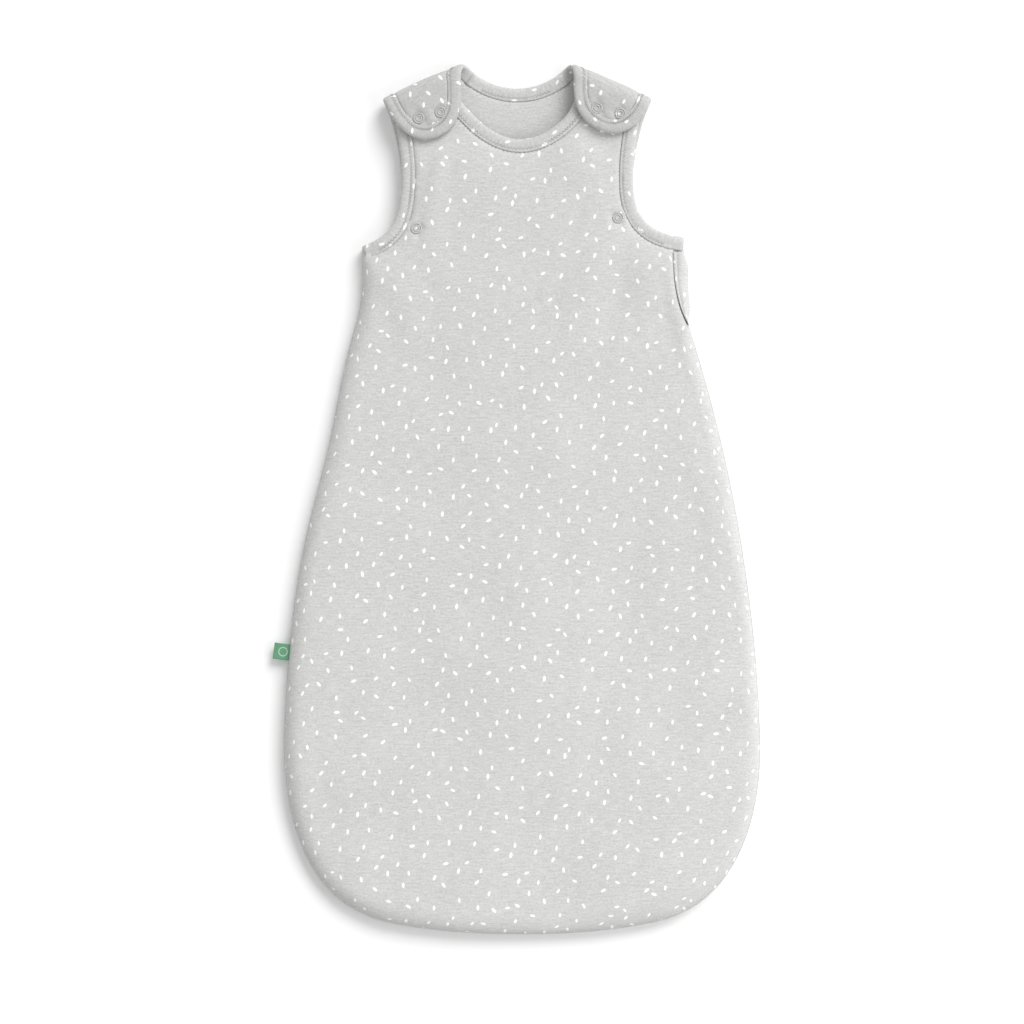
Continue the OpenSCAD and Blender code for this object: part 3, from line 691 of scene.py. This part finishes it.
zip_len = along(join(garage_edge, side_arc, corner, hem, flip(hem)))[-1]
garage_len = along(garage_edge)[-1]


ZIP_RIM, SEAM_RIM, GARAGE_RISE = 9.7, 7.15, 3.3


def side_rim_z(where):
    """Height of the front's rolled edge: highest at the garage, up over the zip, and on the back at the seam."""
    z = ZIP_RIM - (ZIP_RIM - SEAM_RIM) * step01((where - zip_len - 2) / 26)
    return z + GARAGE_RISE * (1 - step01((where - garage_len + 8) / 24))


def seat(points, z, centres, depth):
    """Flat seats for press studs, with the cloth puckered round them."""
    for c in centres:
        d = points - c
        r = np.linalg.norm(d, axis=1)
        a = np.arctan2(d[:, 1], d[:, 0])
        level = z[r < 7].mean() - depth
        z = z + (level - z) * np.exp(-((r / 7.2) ** 5))
        z = z + 0.3 * np.cos(5 * a + c[0]) * np.exp(-(((r - 7.4) / 2.4) ** 2)) - 0.5 * np.exp(-(((r - 4.7) / 0.5) ** 2))
    return z


# Soft folds of the front: from, to, half width and height
FOLDS = [
    ((-84, 228), (-70, 296), 5.0, -0.9), ((-74, 232), (-63, 285), 5.5, 0.9), ((-60, 190), (-52, 262), 9, -0.5),
    ((-95, 214), (-60, 150), 8, -0.6), ((-112, 196), (-78, 120), 9, 0.7), ((-120, 180), (-100, 110), 7, -0.5),
    ((74, 232), (62, 300), 6, -0.7), ((84, 236), (80, 292), 4.5, -0.9), ((70, 214), (36, 130), 10, 0.6),
    ((86, 214), (70, 120), 8, -0.8), ((100, 204), (98, 112), 8, 0.7), ((114, 196), (117, 128), 6, -0.6),
    ((118, 150), (126, 90), 6, -0.7), ((128, 118), (146, 40), 5, -0.5), ((132, 60), (156, -30), 7, 0.5),
    ((165, -40), (178, -150), 6, -0.5), ((-150, 20), (-166, -90), 7, -0.5), ((-130, 80), (-146, 0), 7, 0.5),
    ((-20, 286), (-60, 262), 6, 0.4), ((15, 284), (52, 262), 6, 0.4), ((-168, -180), (-150, -270), 9, -0.6),
    ((150, -262), (112, -318), 9, -0.6), ((-120, -300), (-40, -330), 10, -0.5), ((40, -336), (100, -322), 7, 0.4),
]
flow = waves(pts, 150, 0.55, 3) + waves(pts, 62, 0.22, 4) + waves(pts, 24, 0.07, 5, (1.6, 0.8))
for a, b, w, h in FOLDS:
    flow += ridge(pts, a, b, w, h)
FRONT_TOP, BOUND_TOP = 17.6, 14.75
mid = FRONT_TOP + flow
rim_a = side_rim_z(where_a)
near_garage = 1 - step01((where_a - garage_len + 2) / 24)
reach = 17.0 - 9.5 * near_garage
h_a = rim_a + (mid - rim_a) * dome(dist_a / reach)
t_b = np.clip((dist_b - BIND_FREE) / 30, 0, 1)
h_b = BOUND_TOP + (mid - BOUND_TOP) * (1 - (1 - t_b) ** 2.4)
h_b = h_b - 2.0 * (1 - step01((dist_b - BIND_HELD) / 1.0))
top = softmin(h_a, h_b)
under_strap = 1 - step01((dist_t - 34) / 16)
top = top - under_strap * np.clip(top - 14.3, 0, None)
top = seat(pts, top, UNDER_STUDS, 0.5)
low = 10.25 + waves(pts, 80, 0.12, 9)
low_a = rim_a + (low - rim_a) * step01(dist_a / 8)
low_b = np.where(dist_b < 10.5, 10.6, low)
low_z = np.maximum(low_a, np.minimum(low_b, low_a + 0.5))
low_z = np.minimum(low_z, top - 0.8)
rim_z = np.where(np.minimum(dist_b, dist_t) < dist_a, 12.1, rim_a)
# the cloth that turns down over the side keeps its own length, so the print isn't drawn out there
spare = reach * math.pi / 2 - reach
extra = spare * (1 - np.clip(dist_a / reach, 0, 1)) ** 1.5
uv_top = pts + out_a * (extra * 0.8)[:, None]
front = quilt("front_panel", flat, top, low_z, rim_z, flat_map(), [jersey_print, lining_plain], uv_top, pts)
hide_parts("front_shell", "front_wadding", "front_lining", "flap_shell", "flap_wadding", "flap_lining")


def front_height(points):
    """Height of the finished front at these places."""
    i = np.array([int(np.argmin(((pts - p) ** 2).sum(1))) for p in points])
    return top[i]


def fold_open(ob):
    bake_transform(ob)


fold_open(front)

# ---------------------------------------- back panel

back_outline = join(back_neck, right_back_arm, full_line, left_back_arm)[:-1]
flat_back = plan(back_outline, RINGS, 5.2, 2.8, UNDER_STUDS)
pb = flat_back[0]
# distances: da from the sides and the hem, db from the bound edges
da, wa, oa = to_line(pb, full_line)
db = np.min([to_line(pb, x)[0] for x in (back_neck, right_back_arm, left_back_arm)], axis=0)
zip_total = along(zip_line)[-1]
rim_back = 4.3 + 2.7 * step01((wa - zip_total - 2) / 26)
under_b = 0.3 + 0.3 * (waves(pb, 70, 0.5, 21) + 0.5).clip(0, 1.4)
curl = 7.0 + 6.0 * step01((wa - zip_total - 2) / 26)
low_back = rim_back + (under_b - rim_back) * dome(da / curl)
top_mid = 3.9 + waves(pb, 90, 0.12, 22)
top_back = rim_back + (top_mid - rim_back) * step01(da / 9)
top_back = np.where(da > 4, top_back + 0.55 - 1.3 * (1 - step01((db - BIND_HELD) / 1.0)), top_back)
low_back = np.where(da > 9, low_back + (1.3 - low_back) * (1 - step01((db - 10.5) / 1.4)), low_back)
top_back = seat(pb, top_back, UNDER_STUDS, 0.3)
low_back = np.minimum(low_back, top_back - 0.5)
rim_b = np.where(db < da, 2.2, rim_back)
uv_back = pb + oa * (4 * (1 - np.clip(da / 10, 0, 1)))[:, None] + [400, 0]
back = quilt("back_panel", flat_back, top_back, low_back, rim_b, flat_map(), [jersey_print, lining_plain],
             pb, uv_back, top_is_outer=False)
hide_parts("back_shell", "back_wadding", "back_lining")
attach(back, "bag")

# the seam allowance inside the left side, which joins the two panels
seam_rim = spaced(seam_line, 3.0)
SEAM_SECTION = np.array([(1.0, 7.5), (9.5, 7.9), (9.8, 7.5), (9.5, 7.1), (1.0, 6.7)])
seam = sweep("left_seam_tape", seam_rim, SEAM_SECTION, flat_map(), [lining_plain], wobble=0.3)
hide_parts("left_seam")
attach(seam, "bag")

# ---------------------------------------- bindings


def binding_section(up, low, cloth=0.75):
    """U of folded jersey round an edge, stitched down near its inner edge: the outside path, then back inside."""
    half = (up - low) / 2
    outer = [
        (BIND, up - 1.5), (BIND - 0.05, up - 0.5), (BIND - 0.5, up), (BIND - 1.3, up + 0.08), (BIND - 2.1, up - 0.02),
        (BIND - 3.2, up - 0.06), (BIND - 4.2, up + 0.04), (BIND - 5.4, up + 0.16), (3.4, up + 0.15), (1.9, up - 0.2),
        (0.7, up - 0.9), (0.1, up - 1.8), (0.0, half), (0.1, 1.5 - low), (0.8, 0.6 - low), (2.2, 0.1 - low),
        (4.5, -low), (BIND * 0.6, -low), (BIND - 1.4, -low), (BIND - 0.2, 0.15 - low), (BIND, 0.5 - low),
    ]
    inner = [
        (BIND - 0.3, cloth - low), (BIND * 0.6, cloth - low), (3.0, cloth + 0.05 - low), (1.5, cloth + 0.6 - low),
        (cloth + 0.05, half), (1.4, up - cloth - 0.7), (3.0, up - cloth - 0.12), (BIND * 0.55, up - cloth),
        (BIND - 3.0, up - cloth - 0.2), (BIND - 0.7, up - cloth - 0.2), (BIND - 0.6, up - 1.5),
    ]
    return np.array(outer + inner)


def bind(name, rim, mapper, up, low, node_name, seed, ride=None, blend=None, bend=None, taper=None, mat=shaded_binding_print):
    """A binding and its row of coverstitching, which ride a body, or stay unattached in their world place when blend is
    given.
    """
    rim = spaced(rim, 2.4)
    ob = sweep(name, rim, binding_section(up, low), mapper, [mat], wobble=0.16,
               uv_shift=(seed * 37.0, seed * 91.0), bend=bend, taper=taper)
    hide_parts(node_name)
    row = stitches(name + "_coverstitch", rim, BIND - 4.1, BIND - 1.7, up + 0.1, mapper, thread, skip=(12, 12))
    for o in (ob, row):
        if blend:
            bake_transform(o)
        else:
            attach(o, ride)


def meet(amount, reach=18.0, end=0):
    """Brings a band towards the side seam at one of its ends."""

    def go(h, s):
        away = s if end == 0 else s[-1] - s
        return h + amount * (1 - step01(away / reach))

    return go


def round_end(radius=3.0):
    """Rounds the outer corner of a band where it reaches its end."""

    def go(a, s):
        left = np.clip(radius - (s[-1] - s), 0, radius * 0.9)
        cut = radius - np.sqrt(radius**2 - left**2)
        return a + cut * (1 - a / BIND)

    return go


FRONT_MID, BACK_MID = 12.0, 2.5
neck_front_rim = skew(both(join(neck_curve, np.array([[NECK_HALF, tab_in[1] - 4]]))))
at_right = {"taper": round_end()}
for name, rim, middle, up, low, seed, how in (
    ("front_neck_band", neck_front_rim, FRONT_MID, 2.75, 2.45, 1, {}),
    ("right_front_arm_band", right_front_arm, FRONT_MID, 2.75, 2.45, 2, {**at_right, "bend": meet(-0.9, 12, 1)}),
    ("left_front_arm_band", left_front_arm, FRONT_MID, 2.75, 2.45, 3, {"bend": meet(-2.3)}),
    ("back_neck_band", back_neck, BACK_MID, 2.3, 2.3, 4, {}),
    ("right_back_arm_band", right_back_arm, BACK_MID, 2.1, 2.3, 5, {**at_right, "bend": meet(0.9, 12, 1)}),
    ("left_back_arm_band", left_back_arm, BACK_MID, 2.1, 2.3, 6, {"bend": meet(2.0)}),
):
    bind(name, rim, flat_map(middle), up, low, name.replace("_band", "_binding"), seed, ride="bag", **how)

# ---------------------------------------- straps

# Where a strap starts, behind its fold, and its thickness on each side of its middle
START = -2.5
STRAP_UP, STRAP_LOW = 2.35, -1.75


def strap_shape(side):
    """Rim of the strap laid out flat: up one side, round the tongue and down the other."""
    reach = STRAP_REACH[side]
    tongue = join(
        bezier([[4.6, ROLL_R], [9.5, ROLL_R + 11], [15, reach - 1], [40, reach]], 30),
        bezier([[40, reach], [59, reach], [FOLD_LEN - 1, reach - 15], [FOLD_LEN, ROLL_R]], 30),
    )
    tongue = tongue + [0, ROLL_LEN - ROLL_R]
    root = bezier([[ROOT - 1.6, START], [ROOT + 2.5, 5], [-3.0, ROLL_LEN * 0.5], [4.6, ROLL_LEN]], 16)
    return join(root, tongue, np.array([[FOLD_LEN, START]]))


def strap(side):
    name = "right" if side > 0 else "left"
    mapper = shoulder_map(side)
    rim = strap_shape(side)
    centres = [np.array([u, v - ROLL_R + ROLL_LEN]) for u, v in STRAP_STUDS[side]]
    flat_s = plan(rim, (0.8, 2.2, 4.5, 7.5, 10.3, 10.9, 11.5, 13.0), 2.6, 1.8, centres)
    ps = flat_s[0]
    d_side, _, _ = to_line(ps, spaced(rim, 1.0))
    tip = step01((ps[:, 1] - ROLL_LEN - 6) / 16)
    base = STRAP_UP + 0.75 * (1 - (1 - np.clip((d_side - BIND_FREE) / 12, 0, 1)) ** 2)
    base -= (1.3 - 0.65 * tip) * (1 - step01((d_side - BIND_HELD) / 0.9))
    base += waves(ps + side * 40, 26, 0.10, 31 + side) + waves(ps - side * 9, 11, 0.03, 35)
    base = seat(ps, base, centres, 0.35)
    under = np.full(len(ps), STRAP_LOW)
    ob = quilt(f"{name}_strap", flat_s, base, under, np.zeros(len(ps)), mapper, [shaded_strap_print, lining_plain],
               ps * [1, -1] + [200 * side + 13, 60], ps)
    tidy(ob)
    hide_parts(f"{name}_strap_shell", f"{name}_strap_wadding", f"{name}_strap_lining", f"{name}_shoulder_roll")
    middle = mapper(np.array([[FOLD_LEN / 2, ROLL_LEN / 2]]), np.array([0.0]))[0]
    a, b = Vector(middle * MM), Vector(middle * MM)
    a.z, b.z = (ROLL_Z - ROLL_MID) * MM, (ROLL_Z + ROLL_MID) * MM
    how = ("bag", f"{name}_strap", tuple(a), tuple(b))
    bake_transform(ob)
    bind(f"{name}_strap_band", rim, mapper, 2.45, 2.1, f"{name}_strap_binding", 7 + side, blend=how, mat=shaded_strap_print)
    level = [float(base[np.argmin(((ps - c) ** 2).sum(1))]) for c in centres]
    return centres, mapper, level


strap_studs = {side: strap(side) for side in (1, -1)}

# ---------------------------------------- press studs


def lathe(profile, n=40):
    """A closed (radius, height) profile turned round the z axis."""
    k = len(profile)
    turns = np.linspace(0, 2 * math.pi, n, endpoint=False)
    verts = [(r * math.cos(a), r * math.sin(a), z) for a in turns for r, z in profile]
    faces = [
        (i * k + j, (i + 1) % n * k + j, (i + 1) % n * k + (j + 1) % k, i * k + (j + 1) % k)
        for i in range(n) for j in range(k)
    ]
    return np.array(verts), faces


RING = [
    (1.7, -0.25), (1.74, 0.4), (1.9, 0.68), (2.2, 0.72), (2.45, 0.5), (2.6, 0.05), (2.8, -0.1), (3.2, -0.1),
    (3.4, 0.1), (3.55, 0.6), (3.75, 0.85), (4.0, 0.85), (4.22, 0.6), (4.3, 0.1), (4.25, -0.4), (3.0, -0.5), (1.8, -0.5),
]
SOCKET = [
    (2.1, 0.0), (2.3, -0.1), (3.9, -0.1), (4.2, 0.15), (4.2, 0.6), (3.8, 0.9), (3.1, 0.9), (2.9, 0.65), (2.4, 0.65),
    (2.1, 0.5),
]
STUD = [
    (0.01, 0.0), (3.9, 0.0), (4.2, 0.15), (4.2, 0.35), (3.95, 0.5), (1.85, 0.5), (1.5, 0.7), (1.5, 1.0), (1.2, 1.3),
    (0.01, 1.3),
]


def placed(name, profile, spots, node_name, body):
    """Round pieces at (x, y, z, way), way 1 up and -1 down."""
    verts, faces = [], []
    for x, y, z, way in spots:
        v, f = lathe(profile)
        base = sum(len(q) for q in verts)
        faces += [tuple(base + i for i in q) for q in f]
        verts.append(v * [1, 1, way] + [x, y, z])
    ob = make_object(name, np.vstack(verts), faces, [enamel_grey])
    tidy(ob, fill=True, merge=0.00003)
    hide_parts(node_name)
    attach(ob, body)


for side, (centres, mapper, level) in strap_studs.items():
    name = "right" if side > 0 else "left"
    xy = [mapper(np.array([c]), np.array([0.0]))[0][:2] for c in centres]
    tops = [ROLL_Z + ROLL_MID + h for h in level]
    for piece, profile, heights, way, body in (
        ("strap_rings", RING, tops, 1, f"{name}_strap"),
        ("strap_sockets", SOCKET, (15.85, 15.85), -1, f"{name}_strap"),
        ("front_studs", STUD, (14.0, 14.0), 1, "bag"),
        ("front_stud_rings", RING, (10.3, 10.3), -1, "bag"),
    ):
        spots = [(x, y, z, way) for (x, y), z in zip(xy, heights)]
        placed(f"{name}_{piece}", profile, spots, f"{name}_{piece}", body)

for name, profile, heights, way, node_name in (
    ("underarm_rings", RING, front_height(UNDER_STUDS), 1, "underarm_front_rings"),
    ("underarm_sockets", SOCKET, (10.3, 10.3), -1, "underarm_sockets"),
    ("underarm_studs", STUD, (3.7, 3.7), 1, "underarm_studs"),
    ("underarm_back_rings", RING, (0.85, 0.85), -1, "underarm_back_rings"),
):
    placed(name, profile, [(x, y, z, way) for (x, y), z in zip(UNDER_STUDS, heights)], node_name, "bag")

# ---------------------------------------- zip

# How far in from the seam line the chain runs, its height, the slider's length, and how much of it is above the coil
CHAIN, CHAIN_Z = 6.0, 7.0
SLIDER_LEN, SLIDER_HEAD = 10, 3.1
slider_a = MOUTH_A - math.radians(0.28)
slider_span = SLIDER_LEN / (SIDE_R - CHAIN)
coil_top_a = slider_a + slider_span / 2 - SLIDER_HEAD / (SIDE_R - CHAIN)
below = join(np.array([on_arc(a) for a in np.linspace(coil_top_a, CORNER_A, 60)]), corner, hem, flip(hem))


def coil(name, side, node_name):
    """One half of a coil zip: a wire wound in flat loops along the chain, and short of the end stop."""
    pitch, per, short = 1.3, 8, 8
    wide, tall, lap = 0.78, 1.05, 0.12
    line = spaced(below, pitch / per)
    line = line[: -int(short / (pitch / per))]
    n_in = inward(line)
    t = np.arange(len(line)) / per + (0.5 if side < 0 else 0.0)
    ang = 2 * math.pi * t
    out = CHAIN + wide * np.cos(ang)
    reach = np.sin(ang)
    h = CHAIN_Z + side * (1.0 + tall * reach - lap)
    path = np.column_stack([line + out[:, None] * n_in, h])
    tan = np.gradient(path, axis=0)
    tan /= np.linalg.norm(tan, axis=1)[:, None]
    ref = np.column_stack([n_in, np.zeros(len(line))])
    a1 = np.cross(tan, ref)
    a1 /= np.maximum(np.linalg.norm(a1, axis=1), 1e-9)[:, None]
    a2 = np.cross(tan, a1)
    r, sides = 0.3, 5
    turns = [2 * math.pi * j / sides for j in range(sides)]
    verts = np.stack([path + r * (math.cos(q) * a1 + math.sin(q) * a2) for q in turns], axis=1).reshape(-1, 3)
    i = np.arange(len(line) - 1)[:, None] * sides
    j = np.arange(sides)[None]
    j2 = (j + 1) % sides
    faces = np.stack([i + j, i + j2, i + sides + j2, i + sides + j], axis=2).reshape(-1, 4)
    faces = [tuple(f) for f in faces] + [tuple(range(sides)), tuple(range(len(verts) - sides, len(verts)))]
    ob = make_object(name, verts, faces, [coil_plastic])
    tidy(ob)
    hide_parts(node_name)
    return ob


fold_open(coil("zip_front_coil_wire", 1, "zip_front_coil"))
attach(coil("zip_back_coil_wire", -1, "zip_back_coil"), "bag")

tape_rim = spaced(zip_line, 3.0)
UPPER_TAPE = np.array([
    (5.75, 8.9), (5.7, 10.6), (6.3, 11.6), (7.5, 12.2), (14.5, 12.3), (14.5, 11.85), (7.7, 11.75), (6.7, 11.3),
    (6.2, 10.5), (6.25, 8.9),
])
LOWER_TAPE = np.array([
    (5.75, 5.1), (5.7, 3.6), (6.3, 2.6), (7.5, 2.0), (14.5, 1.9), (14.5, 2.35), (7.7, 2.45), (6.7, 2.9), (6.2, 3.7),
    (6.25, 5.1),
])
tape_up = sweep("zip_front_tape_cloth", tape_rim, UPPER_TAPE, flat_map(), [tape_weave])
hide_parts("zip_front_tape", "zip_front_tape_top")
fold_open(tape_up)
tape_down = sweep("zip_back_tape_cloth", tape_rim, LOWER_TAPE, flat_map(), [tape_weave])
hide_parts("zip_back_tape")
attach(tape_down, "bag")

# The slider, its pull and the stops are the CAD's own, with their edges rounded
for n in ("zip_slider", "zip_pull", "zip_top_stops", "zip_end_stop"):
    is_stop = "stop" in n
    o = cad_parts[n]
    o.data.materials.clear()
    o.data.materials.append(coil_plastic if is_stop else slider_grey)
    bev = o.modifiers.new("edges", "BEVEL")
    bev.width, bev.segments, bev.limit_method, bev.angle_limit = 0.00022, 3, "ANGLE", math.radians(30)

# ---------------------------------------- zip garage

g_rim = spaced(side_top, 1.2)
g_len = along(g_rim)[-1]
g_outer = [
    (8.8, 14.6), (8.7, 15.4), (8.1, 15.95), (7.2, 16.05), (6.4, 15.75), (5.7, 15.35), (5.0, 15.45), (3.6, 15.75),
    (1.5, 15.45), (-0.8, 14.3), (-2.3, 12.2), (-3.0, 9.6), (-3.0, 6.6), (-2.5, 4.0), (-1.4, 2.0), (0.2, 0.9),
    (1.6, 0.75),
]
g_inner = [
    (1.6, 1.75), (0.4, 1.95), (-0.7, 2.7), (-1.6, 4.4), (-2.0, 6.8), (-2.0, 9.4), (-1.4, 11.6), (-0.1, 13.1),
    (1.9, 14.2), (4.7, 14.5), (7.2, 14.6), (8.3, 14.3),
]


def garage_taper(a, s):
    """The garage's front edge runs out to the seam at its mouth, and its outer side swells between the ends."""
    if a <= 0:
        return a * 1.55 * (0.05 + 0.95 * step01((s - 8) / 18)) * (0.1 + 0.9 * step01((g_len - s) / 15))
    return a * np.maximum(1 - (s / g_len) ** 2, 0.02)


def garage_bend(h, s):
    """Its top end is tucked in under the binding of the armhole."""
    t = step01((s - 9.6) / 3.5)
    return np.where(h > 7, 7.2 + (h - 7.2) * (0.12 + 0.88 * t), h)


garage = sweep("zip_garage_cap", g_rim, np.array(g_outer + g_inner), flat_map(), [jersey_print], wobble=0.2,
               uv_shift=(64, 31), taper=garage_taper, bend=garage_bend)
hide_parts("zip_garage")
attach(garage, "bag")
g_seam = stitches("zip_garage_topstitch", spaced(garage_edge, 1.6), -3.2, -3.2, 15.5, flat_map(), thread,
                  pitch=2.6, skip=(14, 16))
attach(g_seam, "bag")

# ---------------------------------------- side label

LABEL_AT, LABEL_WIDE, LABEL_TILT = (-190.2, -123, 7.0), 13, math.radians(-7)
ca, sa = math.cos(LABEL_TILT), math.sin(LABEL_TILT)
loop_outer = [
    (9.0, 0.95), (2, 1.0), (-5, 0.85), (-8.2, 0.75), (-8.9, 0.45), (-9.1, 0.0), (-8.9, -0.45), (-8.2, -0.75),
    (-5, -0.85), (2, -0.8), (9.0, -0.75),
]
loop_inner = [
    (9.0, -0.35), (2, -0.4), (-5, -0.42), (-8.0, -0.32), (-8.45, 0.0), (-8.0, 0.32), (-5, 0.42), (2, 0.55), (9.0, 0.5),
]
sec = np.array(loop_outer + loop_inner)
across = [i / 14 * LABEL_WIDE for i in range(15)]
verts = []
for y in across:
    y -= LABEL_WIDE / 2
    for x, z in sec:
        bend = 0.35 * math.sin(x * 0.33 + y * 0.21) * (1 if x < 2 else 0.3)
        verts.append(np.add(LABEL_AT, (x * ca - y * sa, x * sa + y * ca, z + bend)))
faces, uv = strip_faces(len(sec), across, along(looped(sec)))
label = make_object("side_label_loop", verts, faces, [label_weave], None, uv)
tidy(label, fill=True)
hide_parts("side_label")
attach(label, "bag")

# ---------------------------------------- floor, light and camera

floor_me = bpy.data.meshes.new("floor")
bm = bmesh.new()
bmesh.ops.create_grid(bm, x_segments=1, y_segments=1, size=6)
bm.to_mesh(floor_me)
bm.free()
floor = bpy.data.objects.new("floor", floor_me)
bpy.context.scene.collection.objects.link(floor)
floor.location.z = -0.0002  # just under the rest plane
fm, fnt, fp = new_material("floor_white")
wire(fnt, fp, Base_Color=(0.93, 0.93, 0.93, 1), Emission_Color=(1, 1, 1, 1), Emission_Strength=0.055, Roughness=0.9,
     Specular_IOR_Level=0.1)
floor_me.materials.append(fm)

scene = bpy.context.scene
scene.view_settings.view_transform = "Standard"
world = bpy.data.worlds.new("studio")
scene.world = world
world.use_nodes = True
wire(world.node_tree, world.node_tree.nodes["Background"], Color=(1, 1, 1, 1), Strength=0.575)


def lamp(name, kind, energy, place, way):
    light = bpy.data.lights.new(name, kind)
    light.energy = energy
    ob = bpy.data.objects.new(name, light)
    scene.collection.objects.link(ob)
    ob.location = place
    ob.rotation_mode = "QUATERNION"
    ob.rotation_quaternion = Vector(way).to_track_quat("-Z", "Y")
    return light


lamp("key", "SUN", energy=2.1, place=(0, 0, 0), way=(-0.68, -1.02, -1.0)).angle = math.radians(34)
fill = lamp("fill", "AREA", energy=8, place=(1.3, -0.35, 1.0), way=(-1.2, 0.25, -1.0))
fill.shape, fill.size = "DISK", 1.2

cam_data = bpy.data.cameras.new("camera")
cam = bpy.data.objects.new("camera", cam_data)
scene.collection.objects.link(cam)
cam_data.lens, cam_data.sensor_width = 100, 36
cam_data.clip_end = 50
# straight above the middle of the photo
cam.location = (-0.0072, -0.0103, 2.299)
scene.camera = cam
